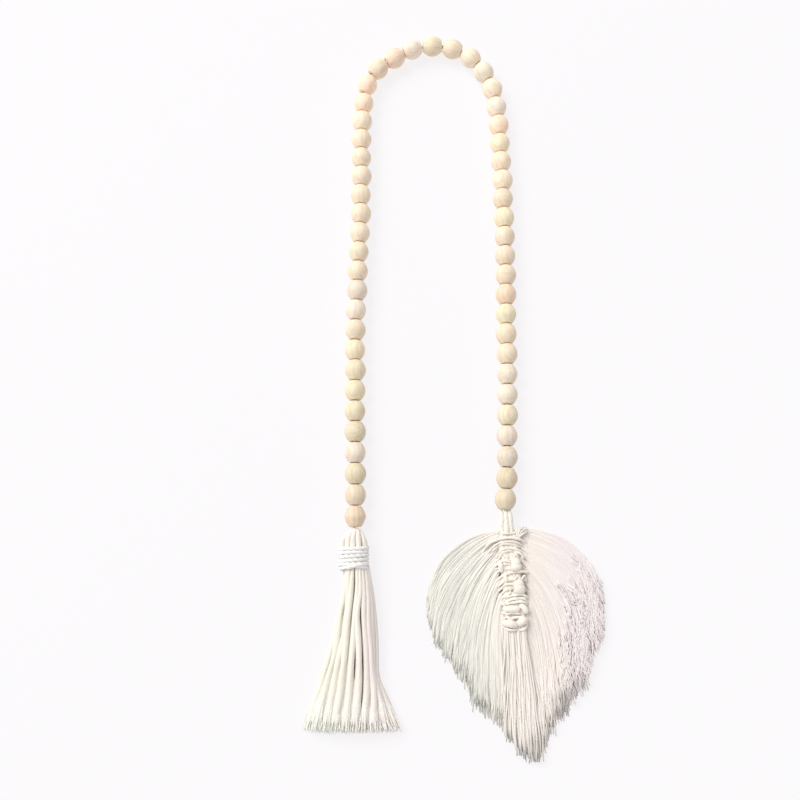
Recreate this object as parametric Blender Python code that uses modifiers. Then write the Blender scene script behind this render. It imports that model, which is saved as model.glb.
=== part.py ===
"""Garland of turned wooden beads, laid flat in a tall arch, with a cord tassel on its left end
and a knotted macrame leaf on its right end.

Metres, +Z up. The garland lies on the plane z = 0 and the middle of its box is over the origin.
+X runs from the tassel's leg to the leaf's leg, +Y from the hanging ends to the arch.
"""
import math
import random

import bmesh
import bpy
from mathutils import Matrix, Vector

# ---------------------------------------------------------------- driving dimensions
GAP = 0.0003                # clearance kept between neighbouring pieces

BEAD_COUNT = 52
BEAD_RADIUS = 0.008
BEAD_LENGTH = 0.01475       # between the two flat faces round the bore
BORE_RADIUS = 0.0026
BEAD_BAND = 0.0034          # length of the straight band round the bead's middle
BEAD_SHOULDER = (0.0064, 0.0053)    # radius and height of the shoulder between band and face
BEAD_STEPS = 12             # facets round a bead
BEND_PLAY = 0.0008          # extra room between beads for each radian that the row turns

STRING_RADIUS = 0.0016

# The row of beads, from below the tassel's bead up, over the arch and down to the leaf's bead.
ROUTE = (
    (-0.0700, -0.1049), (-0.0703, -0.0817), (-0.0705, -0.0591), (-0.0707, -0.0287),
    (-0.0711, 0.0017), (-0.0713, 0.0314), (-0.0705, 0.0610), (-0.0694, 0.0918),
    (-0.0682, 0.1220), (-0.0681, 0.1516), (-0.0682, 0.1816), (-0.0673, 0.2053),
    (-0.0645, 0.2258), (-0.0563, 0.2411), (-0.0433, 0.2511), (-0.0288, 0.2588),
    (-0.0133, 0.2616), (0.0029, 0.2593), (0.0174, 0.2510), (0.0272, 0.2379),
    (0.0335, 0.2238), (0.0360, 0.2084), (0.0373, 0.1931), (0.0387, 0.1639),
    (0.0392, 0.1333), (0.0396, 0.1025), (0.0397, 0.0734), (0.0395, 0.0431),
    (0.0392, 0.0131), (0.0389, -0.0172), (0.0382, -0.0479), (0.0369, -0.0774),
    (0.0357, -0.0929), (0.0349, -0.1097),
)

# Tassel, measured down from the face of the lowest bead.
TASSEL_AXIS_HEIGHT = 0.0083
CROWN_LOBES = 8             # folded cords that show above the binding
CROWN_GROOVE = 0.10         # depth of the grooves between them, as a share of the radius
# below the bead, side shift, half width, half height, grooved
HEAD_SECTIONS = (
    (0.0003, 0.0000, 0.0046, 0.0044, True),
    (0.0040, -0.0006, 0.0072, 0.0060, True),
    (0.0082, -0.0012, 0.0098, 0.0074, True),
    (0.0112, -0.0014, 0.0102, 0.0076, True),
    (0.0118, -0.0012, 0.0088, 0.0064, False),
    (0.0275, -0.0012, 0.0088, 0.0064, False),
    (0.0281, -0.0008, 0.0098, 0.0073, False),
    (0.0298, 0.0004, 0.0102, 0.0076, False),
)
WRAP_TOP = 0.0121
WRAP_SHIFT = -0.0012
WRAP_TURNS = 6
WRAP_PITCH = 0.0025
WRAP_HALF_WIDTH = 0.0110
WRAP_WALL = 0.0018          # cord thickness at the crest of a turn
WRAP_VALLEY = 0.0010        # wall left between two turns
WRAP_EDGE = 0.0006          # wall at the binding's two ends
WRAP_ROUNDING = 0.3         # share of a turn's pitch that its rounding takes on each side
WRAP_STEPS = 20

STRAND_COLUMNS = 12
STRAND_LAYERS = 3
ROOT_SIDE_ANGLE = 25.0      # degrees of the neck's side that the end column's roots cover
# below the bead, left edge, right edge, height of the bundle, how far its underside is lifted
SKIRT_SECTIONS = (
    (0.0370, -0.0086, 0.0118, 0.0152, 0.0004),
    (0.0520, -0.0094, 0.0140, 0.0150, 0.0000),
    (0.0780, -0.0128, 0.0156, 0.0142, 0.0000),
    (0.1020, -0.0205, 0.0176, 0.0132, 0.0000),
    (0.1200, -0.0285, 0.0236, 0.0124, 0.0000),
    (0.1365, -0.0325, 0.0325, 0.0118, 0.0000),
)
SKIRT_CROWN = 0.45          # how much lower the bundle is at its sides
STRAND_RAGGED = 0.0015      # how unevenly the tassel's ends are cut
STRAND_SLACK = (0.02, 0.10)         # share of its channel that a strand leaves free on each side
LAYER_STAGGER = 0.4         # how far one layer's lines move against the next, in lines

# Leaf, measured along its own axis from the face of the last bead.
LEAF_LEAN = 5.0             # degrees that the leaf's axis leans to the right of straight down
SPINE_TOP = 0.0185
KNOT_ROWS = 8
KNOT_PITCH = 0.0080
CELLS_PER_KNOT = 3          # fringe roots along one side of one knot row
SPINE_HALF_WIDTH = 0.0078
SPINE_TIP_HALF_WIDTH = 0.0004
SPINE_SHIFT = (0.0020, -0.0018)     # side shift of the spine's top and bottom end
SPINE_SIDE_HEIGHT = 0.0084
SPINE_CREST = 0.0122
SPINE_VALLEY = 0.0094
NECK_CORDS = 3
NECK_CORD_WIDTH = 0.0036
NECK_CORD_HEIGHT = 0.0058
NECK_STOPS = (0.15, 0.6, 1.0)       # shares of a neck cord's length at its sections
TUFT_LENGTH = 0.0085
TUFT_BASE = 0.0015          # how far the tuft's end is lifted
# distance along the leaf's axis, half width of the trimmed outline, from its widest place to the tip
OUTLINE = (
    (0.062, 0.0602), (0.074, 0.0602), (0.087, 0.0584), (0.100, 0.0540), (0.112, 0.0472),
    (0.123, 0.0400), (0.134, 0.0328), (0.144, 0.0262), (0.153, 0.0190), (0.160, 0.0110),
    (0.166, 0.0055), (0.1705, 0.0000),
)
# the fringe's upper edge: the start, the two guide points and the end of its curve
SHOULDER = ((0.0185, 0.0078), (0.0100, 0.0260), (0.0300, 0.0530), (0.0620, 0.0602))
LOCK_STATIONS = 5
FRINGE_TIP_HEIGHT = 0.0052
FRINGE_BEND = 0.6           # how soon the lines of the fringe turn down along the spine
FRINGE_OUTWARD = 16.0       # degrees that the middle lines still point outward at their ends
LOCK_RAGGED = 0.035         # how much of a lock's length its cut end may fall short
UPPER_LAYER_SHORT = 0.02    # share by which the upper layer is trimmed shorter

# ---------------------------------------------------------------- scene and helpers
for old in list(bpy.data.objects):
    bpy.data.objects.remove(old, do_unlink=True)

garland = bpy.data.collections.new("bead_garland")
bpy.context.scene.collection.children.link(garland)
origin = bpy.data.objects.new("garland_origin", None)
garland.objects.link(origin)


def make_material(name, colour, roughness):
    """Return a plain Principled material."""
    material = bpy.data.materials.new(name)
    material.use_nodes = True
    shader = material.node_tree.nodes["Principled BSDF"]
    shader.inputs["Base Color"].default_value = (*colour, 1.0)
    shader.inputs["Roughness"].default_value = roughness
    shader.inputs["Metallic"].default_value = 0.0
    return material


wood = make_material("natural_wood", (0.80, 0.66, 0.48), 0.55)
cotton = make_material("cotton_cord", (0.87, 0.84, 0.78), 0.95)


def add_object(name, data, material, matrix=Matrix()):
    """Put new object data in the garland's collection, under its origin."""
    obj = bpy.data.objects.new(name, data)
    if material.name not in data.materials:
        data.materials.append(material)
    garland.objects.link(obj)
    obj.parent = origin
    obj.matrix_world = matrix
    return obj


def add_turned(name, outline, steps, material, matrix, start_angle=0.0):
    """Sweep a closed outline of (radius, height) points round Z with a Screw modifier."""
    edges = [(i, (i + 1) % len(outline)) for i in range(len(outline))]
    points = [(radius * math.cos(start_angle), radius * math.sin(start_angle), height)
              for radius, height in outline]
    mesh = bpy.data.meshes.new(name)
    mesh.from_pydata(points, edges, [])
    turned = add_object(name, mesh, material, matrix)
    screw = turned.modifiers.new("turned", "SCREW")
    screw.steps = steps
    screw.render_steps = steps
    screw.use_merge_vertices = True
    screw.merge_threshold = 0.00001
    screw.use_normal_calculate = True
    return turned


def add_bmesh(name, bm, material, matrix):
    """Turn a bmesh into an object, with its faces turned outward."""
    bmesh.ops.recalc_face_normals(bm, faces=bm.faces)
    mesh = bpy.data.meshes.new(name)
    bm.to_mesh(mesh)
    bm.free()
    mesh.shade_smooth()
    mesh.set_sharp_from_angle(angle=math.radians(40.0))
    return add_object(name, mesh, material, matrix)


def lerp(a, b, t):
    return a + (b - a) * t


def smooth_step(t):
    return t * t * (3.0 - 2.0 * t)


def table_value(rows, position, column):
    """Read a column of a table at a place along its first column."""
    for low, high in zip(rows, rows[1:]):
        if position <= high[0]:
            share = max(0.0, (position - low[0]) / (high[0] - low[0]))
            return lerp(low[column], high[column], share)
    return rows[-1][column]


# ---------------------------------------------------------------- beads
def smooth_route(points, samples_per_span=400):
    """Sample a Catmull-Rom curve through the points of the route."""
    ends = [2 * points[0] - points[1], *points, 2 * points[-1] - points[-2]]
    samples = []
    for before, start, stop, after in zip(ends, ends[1:], ends[2:], ends[3:]):
        for i in range(samples_per_span):
            t = i / samples_per_span
            samples.append(0.5 * (2 * start + (stop - before) * t
                                  + (2 * before - 5 * start + 4 * stop - after) * t ** 2
                                  + (3 * start - before - 3 * stop + after) * t ** 3))
    return samples


def bead_reach(angle):
    """Distance from a bead's middle to its surface's limit, at an angle to its bore."""
    rims = ((BORE_RADIUS, BEAD_LENGTH / 2), BEAD_SHOULDER, (BEAD_RADIUS, BEAD_BAND / 2))
    return max(height * math.cos(angle) + radius * math.sin(angle) for radius, height in rims)


def place_beads():
    """Walk along the route and return each bead's middle and the direction of its bore."""
    samples = smooth_route([Vector(point) for point in ROUTE])
    places = []
    for before, point, after in zip(samples, samples[1:], samples[2:]):
        direction = (after - before).normalized()
        if places:
            last_point, last_direction = places[-1]
            turn = last_direction.angle(direction)
            needed = 2 * bead_reach(turn / 2) + GAP + BEND_PLAY * turn
            if (point - last_point).length < needed:
                continue
        places.append((point, direction))
        if len(places) == BEAD_COUNT:
            break
    return places


BEAD_PLACES = place_beads()
FACET_ANGLE = 2 * math.pi / BEAD_STEPS
BEAD_AXIS_HEIGHT = BEAD_RADIUS * math.cos(FACET_ANGLE / 2)


def add_bead(number, point, direction):
    """Turn one bead, with its bore along the row and one facet flat on the floor."""
    shoulder_radius, shoulder_height = BEAD_SHOULDER
    upper = [(BORE_RADIUS, BEAD_LENGTH / 2), (shoulder_radius, shoulder_height),
             (BEAD_RADIUS, BEAD_BAND / 2)]
    lower = [(radius, -height) for radius, height in reversed(upper)]
    bore = Vector((direction.x, direction.y, 0.0))
    down = Vector((0.0, 0.0, -1.0))
    start = Matrix.Rotation(-FACET_ANGLE / 2, 3, bore) @ down
    matrix = Matrix((start, bore.cross(start), bore)).transposed().to_4x4()
    matrix.translation = (point.x, point.y, BEAD_AXIS_HEIGHT)
    return add_turned(f"bead_{number:02d}", upper + lower, BEAD_STEPS, wood, matrix)


for bead_number, (bead_point, bead_direction) in enumerate(BEAD_PLACES, start=1):
    add_bead(bead_number, bead_point, bead_direction)


# ---------------------------------------------------------------- string
def string_points():
    """Points of the string: the outer faces of the row, and where neighbouring bores cross."""
    first_point, first_direction = BEAD_PLACES[0]
    last_point, last_direction = BEAD_PLACES[-1]
    points = [first_point - first_direction * BEAD_LENGTH / 2]
    for (point, direction), (next_point, next_direction) in zip(BEAD_PLACES, BEAD_PLACES[1:]):
        half_turn = direction.angle(next_direction) / 2
        reach = (next_point - point).length / 2 / math.cos(half_turn)
        points.append((point + direction * reach + next_point - next_direction * reach) / 2)
    points.append(last_point + last_direction * BEAD_LENGTH / 2)
    return points


def add_string():
    """A tube through every bore, level with the beads' middles."""
    points = string_points()
    curve = bpy.data.curves.new("string", "CURVE")
    curve.dimensions = "3D"
    curve.bevel_depth = STRING_RADIUS
    curve.bevel_resolution = 2
    curve.use_fill_caps = True
    spline = curve.splines.new("POLY")
    spline.points.add(len(points) - 1)
    for spline_point, place in zip(spline.points, points):
        spline_point.co = (place.x, place.y, BEAD_AXIS_HEIGHT, 1.0)
    return add_object("string", curve, cotton)


add_string()


# ---------------------------------------------------------------- lofts, roots and locks
def loft(bm, rings):
    """Join closed rings of points with quads and return the rings' vertices and the quads."""
    ring_verts = [[bm.verts.new(point) for point in ring] for ring in rings]
    quads = []
    for above, below in zip(ring_verts, ring_verts[1:]):
        count = len(above)
        quads.append([bm.faces.new((above[i], above[(i + 1) % count],
                                    below[(i + 1) % count], below[i])) for i in range(count)])
    return ring_verts, quads


def grow(bm, root, corners, sections):
    """Grow one lock out of its root face.

    corners gives, for each vertex of the root, the corner (across, level) that it stands for,
    each 0 or 1. A section is a function from such a corner to its place. The root is inset
    first, so that neighbouring locks stand apart.
    """
    bmesh.ops.inset_individual(bm, faces=[root], thickness=GAP / 2, use_even_offset=True)
    kept = [corners[min(corners, key=lambda place: (Vector(place) - vert.co).length)]
            for vert in root.verts]
    face = root
    for section in sections:
        face = bmesh.ops.extrude_discrete_faces(bm, faces=[face])["faces"][0]
        for vert, corner in zip(face.verts, kept):
            vert.co = section(*corner)


# ---------------------------------------------------------------- tassel
TASSEL_TOP = string_points()[0]
TASSEL_MATRIX = Matrix.Translation((TASSEL_TOP.x, TASSEL_TOP.y, 0.0))


def head_angles():
    """Angles round the neck: a corner for each column above and below, and for each layer."""
    side = math.radians(ROOT_SIDE_ANGLE)
    span = math.pi - 2 * side
    top = [math.pi - side - span * i / STRAND_COLUMNS for i in range(STRAND_COLUMNS)]
    right = [side - 2 * side * i / STRAND_LAYERS for i in range(STRAND_LAYERS)]
    bottom = [angle - math.pi for angle in top]
    left = [angle - math.pi for angle in right]
    return top + right + bottom + left


def head_ring(section):
    """One ring of the head: an ellipse, with the grooves of the folded cords if it has them."""
    below, shift, half_width, half_height, grooved = section
    points = []
    for angle in head_angles():
        groove = CROWN_GROOVE * math.cos(CROWN_LOBES * angle / 2) ** 6 if grooved else 0.0
        points.append(Vector((shift + half_width * (1 - groove) * math.cos(angle), -below,
                              TASSEL_AXIS_HEIGHT + half_height * (1 - groove) * math.sin(angle))))
    return points


def root_grid(bm, ring):
    """Fill the head's lower end with a grid of root cells: grid[column][level] of vertices."""
    columns, layers = STRAND_COLUMNS, STRAND_LAYERS
    grid = []
    for column in range(columns + 1):
        top = ring[column]
        bottom = ring[(2 * columns + layers - column) % len(ring)]
        grid.append([bottom, *[None] * (layers - 1), top])
    for level in range(1, layers):
        grid[columns][level] = ring[columns + layers - level]
        grid[0][level] = ring[(2 * (columns + layers) - layers + level) % len(ring)]
        for column in range(1, columns):
            bottom, top = grid[column][0], grid[column][layers]
            grid[column][level] = bm.verts.new(bottom.co.lerp(top.co, level / layers))
    return grid


def skirt_place(across, level, below):
    """A place in the skirt: across and level run from 0 to 1 over its width and height."""
    left, right, height, lift = (table_value(SKIRT_SECTIONS, below, i) for i in range(1, 5))
    rounding = 1.0 - SKIRT_CROWN * (2 * across - 1) ** 2
    return Vector((lerp(left, right, across), -below, lift + level * height * rounding))


def strand_sections(column, layer, rng):
    """Sections of one strand, down its own channel of the skirt."""
    stops = [row[0] for row in SKIRT_SECTIONS]
    stops[-1] -= rng.uniform(0.0, STRAND_RAGGED)
    shift = (layer - 1) * LAYER_STAGGER / STRAND_COLUMNS
    squeeze = rng.uniform(*STRAND_SLACK)
    sections = []
    for number, below in enumerate(stops, start=1):
        spread = smooth_step(number / len(stops))

        def section(side, top, below=below, spread=spread):
            across = (column + side) / STRAND_COLUMNS
            from_edge = min(across, 1 - across) * STRAND_COLUMNS
            across += shift * spread * min(1.0, from_edge)
            inward = 1 if side == 0 else -1
            place = skirt_place(across, (layer + top) / STRAND_LAYERS, below)
            other = skirt_place(across + inward / STRAND_COLUMNS, 0.0, below)
            place.x += inward * (GAP / 2 + squeeze * abs(other.x - place.x))
            if layer + top > 0:
                place.z += GAP / 2 if top == 0 else -GAP / 2
            return place

        sections.append(section)
    return sections


def add_tassel():
    """The head with its crown of folded cords, and the strands grown from its lower end."""
    rng = random.Random(5)
    bm = bmesh.new()
    rings, _ = loft(bm, [head_ring(section) for section in HEAD_SECTIONS])
    bm.faces.new(rings[0])
    grid = root_grid(bm, rings[-1])
    for column in range(STRAND_COLUMNS):
        for layer in range(STRAND_LAYERS):
            verts = {(0, 0): grid[column][layer], (1, 0): grid[column + 1][layer],
                     (1, 1): grid[column + 1][layer + 1], (0, 1): grid[column][layer + 1]}
            root = bm.faces.new(verts.values())
            corners = {tuple(vert.co): corner for corner, vert in verts.items()}
            grow(bm, root, corners, strand_sections(column, layer, rng))
    return add_bmesh("tassel", bm, cotton, TASSEL_MATRIX)


def add_wrap():
    """The binding: one turned ring with a ridge for each turn of its cord, pressed oval."""
    inner = WRAP_HALF_WIDTH - WRAP_WALL
    length = WRAP_TURNS * WRAP_PITCH
    outline = [(inner, -length / 2), (inner, length / 2), (inner + WRAP_EDGE, length / 2)]
    for turn in range(WRAP_TURNS):
        top = length / 2 - turn * WRAP_PITCH
        if turn:
            outline.append((inner + WRAP_VALLEY, top))
        outline.append((inner + WRAP_WALL, top - WRAP_ROUNDING * WRAP_PITCH))
        outline.append((inner + WRAP_WALL, top - (1 - WRAP_ROUNDING) * WRAP_PITCH))
    outline.append((inner + WRAP_EDGE, -length / 2))
    half_facet = math.pi / WRAP_STEPS
    flatten = TASSEL_AXIS_HEIGHT / (WRAP_HALF_WIDTH * math.cos(half_facet))
    lay_down = Matrix.Rotation(-math.pi / 2, 4, "X")
    place = Matrix.Translation((WRAP_SHIFT, -(WRAP_TOP + length / 2), TASSEL_AXIS_HEIGHT))
    matrix = TASSEL_MATRIX @ place @ lay_down @ Matrix.Diagonal((1.0, flatten, 1.0, 1.0))
    return add_turned("tassel_wrap", outline, WRAP_STEPS, cotton, matrix, half_facet)


add_tassel()
add_wrap()


# ---------------------------------------------------------------- leaf
LEAF_TOP = string_points()[-1] + BEAD_PLACES[-1][1] * 2 * GAP
LEAF_MATRIX = (Matrix.Translation((LEAF_TOP.x, LEAF_TOP.y, 0.0))
               @ Matrix.Rotation(math.radians(LEAF_LEAN), 4, "Z"))
CELLS = KNOT_ROWS * CELLS_PER_KNOT
SPINE_LENGTH = KNOT_ROWS * KNOT_PITCH
TAPER_CELLS = CELLS_PER_KNOT


def spine_half_width(station):
    """Half width of the spine at a station: straight, and drawn in over the last knot."""
    left = CELLS - station
    return lerp(SPINE_TIP_HALF_WIDTH, SPINE_HALF_WIDTH, min(1.0, left / TAPER_CELLS))


def spine_ring(station):
    """One ring of the spine: flat below, upright sides for the fringe, a knot's ridge on top."""
    share = station / CELLS
    half = spine_half_width(station)
    shift = lerp(*SPINE_SHIFT, share)
    in_valley = station % CELLS_PER_KNOT == 0
    crest = SPINE_VALLEY if in_valley else SPINE_CREST
    below = SPINE_TOP + share * SPINE_LENGTH
    outline = [(-1.0, 0.0), (-0.5, 0.0), (0.0, 0.0), (0.5, 0.0), (1.0, 0.0),
               (1.0, SPINE_SIDE_HEIGHT / 2), (1.0, SPINE_SIDE_HEIGHT),
               (0.5, crest), (0.0, crest), (-0.5, crest),
               (-1.0, SPINE_SIDE_HEIGHT), (-1.0, SPINE_SIDE_HEIGHT / 2)]
    return [Vector((shift + across * half, -below, height)) for across, height in outline]


def outline_place(share):
    """A place on the trimmed outline, by its share of the length from widest place to tip."""
    points = [Vector(row) for row in OUTLINE]
    lengths = [(b - a).length for a, b in zip(points, points[1:])]
    left = share * sum(lengths)
    for start, stop, length in zip(points, points[1:], lengths):
        if left <= length:
            return start.lerp(stop, left / length)
        left -= length
    return points[-1]


def fringe_curve(share):
    """Bezier points of one line of the fringe, as (below, sideways) from the spine's side.

    share runs from 0, the fringe's upper edge, to 1, the line straight down from the spine.
    """
    root = Vector((SPINE_TOP + share * SPINE_LENGTH, spine_half_width(share * CELLS)))
    end = outline_place(share)
    shoulder = [Vector(point) for point in SHOULDER]
    leave = shoulder[1] - shoulder[0]
    arrive = shoulder[3] - shoulder[2]
    leave_angle = lerp(math.atan2(leave.x, leave.y), math.pi / 2, share ** FRINGE_BEND)
    straight_length = 0.3 * (end - root).length
    leave_length = lerp(leave.length, straight_length, share)
    outward = math.radians(FRINGE_OUTWARD) * math.sin(math.pi * share)
    arrive_length = lerp(arrive.length, straight_length, share)
    guide_one = root + leave_length * Vector((math.sin(leave_angle), math.cos(leave_angle)))
    guide_two = end - arrive_length * Vector((math.cos(outward), math.sin(outward)))
    return root, guide_one, guide_two, end


def fringe_place(side, share, along):
    """A place in the fringe: along runs from 0 at the spine to 1 at the outline."""
    root, guide_one, guide_two, end = fringe_curve(share)
    back = 1.0 - along
    place = (root * back ** 3 + guide_one * 3 * back ** 2 * along
             + guide_two * 3 * back * along ** 2 + end * along ** 3)
    shift = lerp(lerp(*SPINE_SHIFT, share), 0.0, smooth_step(along))
    return Vector((shift + side * place.y, -place.x, 0.0))


def lock_sections(side, cell, layer, rng):
    """Sections of one combed lock, between two lines of the fringe."""
    reach = 1.0 - rng.uniform(0.0, LOCK_RAGGED) - layer * UPPER_LAYER_SHORT
    sections = []
    for number in range(1, LOCK_STATIONS + 1):
        along = reach * number / LOCK_STATIONS

        def section(lower, top, along=along):
            lines = []
            for line in (cell, cell + 1):
                inner_line = 0 < line < CELLS
                moved = LAYER_STAGGER * layer * smooth_step(along) if inner_line else 0.0
                lines.append(fringe_place(side, (line + moved) / CELLS, along))
            here, other = (lines[1], lines[0]) if lower else (lines[0], lines[1])
            place = here + (other - here).normalized() * GAP / 2
            place.x += side * GAP / 2
            height = lerp(SPINE_SIDE_HEIGHT, FRINGE_TIP_HEIGHT, along)
            place.z = (layer + top) * height / 2
            if layer + top > 0:
                place.z += GAP / 2 if top == 0 else -GAP / 2
            return place

        sections.append(section)
    return sections


def end_cell_sections(cell):
    """Sections of a neck cord, up to the bead's face, or of the short tuft beside them."""
    cells = NECK_CORDS + 1
    root_width = 2 * SPINE_HALF_WIDTH / cells
    root_middle = SPINE_SHIFT[0] + root_width * (cell + 0.5 - cells / 2)
    is_neck = cell < NECK_CORDS
    length = SPINE_TOP if is_neck else TUFT_LENGTH
    end_middle = NECK_CORD_WIDTH * (cell - (NECK_CORDS - 1) / 2) if is_neck else root_middle
    end_base = BEAD_AXIS_HEIGHT - NECK_CORD_HEIGHT / 2 if is_neck else TUFT_BASE
    sections = []
    for share in NECK_STOPS:
        def section(across, top, share=share):
            middle = lerp(root_middle, end_middle, share)
            wide = lerp(root_width, NECK_CORD_WIDTH, share) - GAP
            tall = lerp(SPINE_VALLEY, NECK_CORD_HEIGHT, min(1.0, 2 * share))
            return Vector((middle + (across - 0.5) * wide, -SPINE_TOP + length * share,
                           end_base * share + top * tall))

        sections.append(section)
    return sections


def add_leaf():
    """The knotted spine, its neck cords and tuft, and the combed fringe on both sides."""
    rng = random.Random(9)
    bm = bmesh.new()
    rings, quads = loft(bm, [spine_ring(station) for station in range(CELLS + 1)])
    bm.faces.new(rings[-1])
    top_ring = rings[0]
    below, above = top_ring[:5], top_ring[6:11][::-1]
    for cell in range(NECK_CORDS + 1):
        corner_verts = [((0, 0), below[cell]), ((1, 0), below[cell + 1]),
                        ((1, 1), above[cell + 1]), ((0, 1), above[cell])]
        if cell == 0:
            corner_verts.append(((0, 0.5), top_ring[11]))
        if cell == NECK_CORDS:
            corner_verts.insert(2, ((1, 0.5), top_ring[5]))
        root = bm.faces.new([vert for _, vert in corner_verts])
        corners = {tuple(vert.co): corner for corner, vert in corner_verts}
        grow(bm, root, corners, end_cell_sections(cell))
    for side in (1, -1):
        first = 4 if side == 1 else 10
        for cell in range(CELLS):
            for layer in range(2):
                column = first + layer if side == 1 else first + 1 - layer
                root = quads[cell][column]
                corners = {}
                for vert in root.verts:
                    lower = int(vert in rings[cell + 1])
                    top = int(vert.co.z > (layer + 0.5) * SPINE_SIDE_HEIGHT / 2)
                    corners[tuple(vert.co)] = (lower, top)
                grow(bm, root, corners, lock_sections(side, cell, layer, rng))
    return add_bmesh("leaf", bm, cotton, LEAF_MATRIX)


add_leaf()
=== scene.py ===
import math

import bpy
import numpy as np
from mathutils import Matrix, Vector


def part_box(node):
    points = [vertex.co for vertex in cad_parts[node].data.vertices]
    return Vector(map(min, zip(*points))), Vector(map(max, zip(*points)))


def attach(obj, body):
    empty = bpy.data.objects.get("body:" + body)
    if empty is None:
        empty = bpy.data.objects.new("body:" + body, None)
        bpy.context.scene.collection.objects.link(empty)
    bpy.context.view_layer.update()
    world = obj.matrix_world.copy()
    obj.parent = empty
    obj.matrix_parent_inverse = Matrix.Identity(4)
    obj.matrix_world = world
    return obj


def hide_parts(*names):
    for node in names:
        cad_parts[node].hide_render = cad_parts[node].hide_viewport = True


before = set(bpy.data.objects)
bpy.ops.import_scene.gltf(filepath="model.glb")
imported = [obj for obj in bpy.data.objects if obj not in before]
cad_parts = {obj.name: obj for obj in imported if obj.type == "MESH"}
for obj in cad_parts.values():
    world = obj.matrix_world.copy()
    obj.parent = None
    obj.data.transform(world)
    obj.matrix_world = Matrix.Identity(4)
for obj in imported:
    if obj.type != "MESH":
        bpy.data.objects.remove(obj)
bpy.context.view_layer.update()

# ================================================================= wooden beads
# Fifty-two beads of pale, unvarnished wood, each turned as a short barrel with two flat faces
# and bored through for the string. They came from different dowels, so their tone runs from
# cream to peach, and the grain lies along the bore in most of them and across it in a few.
BEAD_RADIUS = 0.00772       # at the widest place
BEAD_HALF_LENGTH = 0.00730  # middle to flat face
BEAD_FACE = 0.56            # radius of the flat face, as a share of the bead's radius
BEAD_ROUNDNESS = (1.75, 2.15)  # power of the barrel's curve
END_BEAD_ROUNDNESS = 1.5    # of the bead over the tassel
BORE_RADIUS = 0.0019
BORE_LIP = 0.00035          # how softly the bore's rim and the face's rim are sanded
LIP_CORNER = 0.3            # share of that by which a rim's middle point is cut back
BEAD_EDGE_ANGLE = 50.0      # degrees, over which an edge shades as a sharp one
BEAD_SEGMENTS = 40
BARREL_STEPS = 18
BEAD_TILT = 1.8             # degrees that a bead may sit crooked on the string
BEAD_SHIFT = 0.0003         # and sit off its line
BEAD_SIZES = (0.965, 1.0)
WOOD_CREAM = (0.900, 0.757, 0.592)
WOOD_PEACH = (0.92, 0.715, 0.555)
WOOD_STRAW = (0.90, 0.785, 0.575)
WOOD_PALE = (0.91, 0.79, 0.66)
# the beads that aren't cream
DOWEL_BEADS = ((WOOD_PEACH, (1, 22, 23, 25, 33, 42)),
               (WOOD_STRAW, (3, 5, 6, 7, 8, 9, 27, 34, 38, 43, 48, 51, 52)),
               (WOOD_PALE, (4, 11, 12, 26, 30, 32, 46, 47, 49, 50)))
# the beads that are lighter or darker than their dowel's tone
BEAD_SHADES = ((1.11, (21, 23, 33)), (1.06, (15, 17, 19, 20, 22, 25, 26, 29, 31, 32, 34, 35, 36)),
               (0.94, (4, 6, 7, 8, 12, 47, 49)), (0.90, (1, 2, 5, 48)), (0.84, (3, 50, 51, 52)))
TONE_SPREAD = (0.96, 1.03)
HUE_SPREAD = (0.985, 1.015)
CROSS_GRAIN_BEADS = (5, 16, 21, 23, 37, 41, 46, 47, 50)
CROSS_GRAIN_LEAN = 90.0     # degrees from the bore
GRAIN_LEAN = 14.0           # degrees that the grain of the others may lean from it
GRAIN_REACH = 300.0         # millimetres, how far apart in the tree the beads were cut
TO_MM = 1000.0              # from metres, because patterns have their places in millimetres
# how the grain's places in millimetres are stretched, for the growth rings and for the pores
RING_STRETCH = (0.55, 0.55, 0.05)
PORE_STRETCH = (5.5, 5.5, 0.45)
# where a pattern starts and stops to show, and the tone or roughness that it has there
RING_TONES = (0.35, 0.68, 1.02, 0.93)
LINE_TONES = (0.60, 1.0, 1.0, 0.95)
PORE_TONES = (0.52, 0.75, 1.0, 0.90)
PORE_ROUGHNESS = (0.3, 0.7, 0.48, 0.66)
WARM_TONES = (1.0, 0.75, 0.0, 1.0)
WARMTH = (0.97, 0.86, 0.72, 1.0)  # the darker grain is also warmer

bead_names = sorted(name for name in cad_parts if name.startswith("bead_"))
bead_middles = np.array([np.mean([tuple(corner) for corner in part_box(name)], axis=0)
                         for name in bead_names])


def unit(vectors):
    """Vectors of length one along the last axis."""
    return vectors / np.maximum(np.linalg.norm(vectors, axis=-1, keepdims=True), 1e-12)


bead_bores = unit(np.gradient(bead_middles, axis=0))


def add_node(tree, kind, sources=None, **values):
    """Add a shader node, set its properties and inputs, and link what feeds it."""
    node = tree.nodes.new("ShaderNode" + kind)
    for key, value in values.items():
        if hasattr(node, key):
            setattr(node, key, value)
        else:
            node.inputs[key.replace("_", " ")].default_value = value
    for socket, source in (sources or {}).items():
        tree.links.new(source, node.inputs[socket])
    return node


def stretched(tree, places, shares):
    """Texture places with each axis multiplied by its share."""
    node = add_node(tree, "VectorMath", {0: places}, operation="MULTIPLY")
    node.inputs[1].default_value = shares
    return node.outputs[0]


def between(tree, mask, start, stop, low, high):
    """A mask carried from start and stop to low and high."""
    return add_node(tree, "MapRange", {"Value": mask}, From_Min=start, From_Max=stop,
                    To_Min=low, To_Max=high).outputs[0]


def combined(tree, operation, first, second):
    """Two values multiplied or added."""
    return add_node(tree, "Math", {0: first, 1: second}, operation=operation).outputs[0]


def shaded(tree, colour, tone):
    """A colour made lighter or darker by a tone."""
    return add_node(tree, "VectorMath", {0: colour, "Scale": tone},
                    operation="SCALE").outputs[0]


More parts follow.
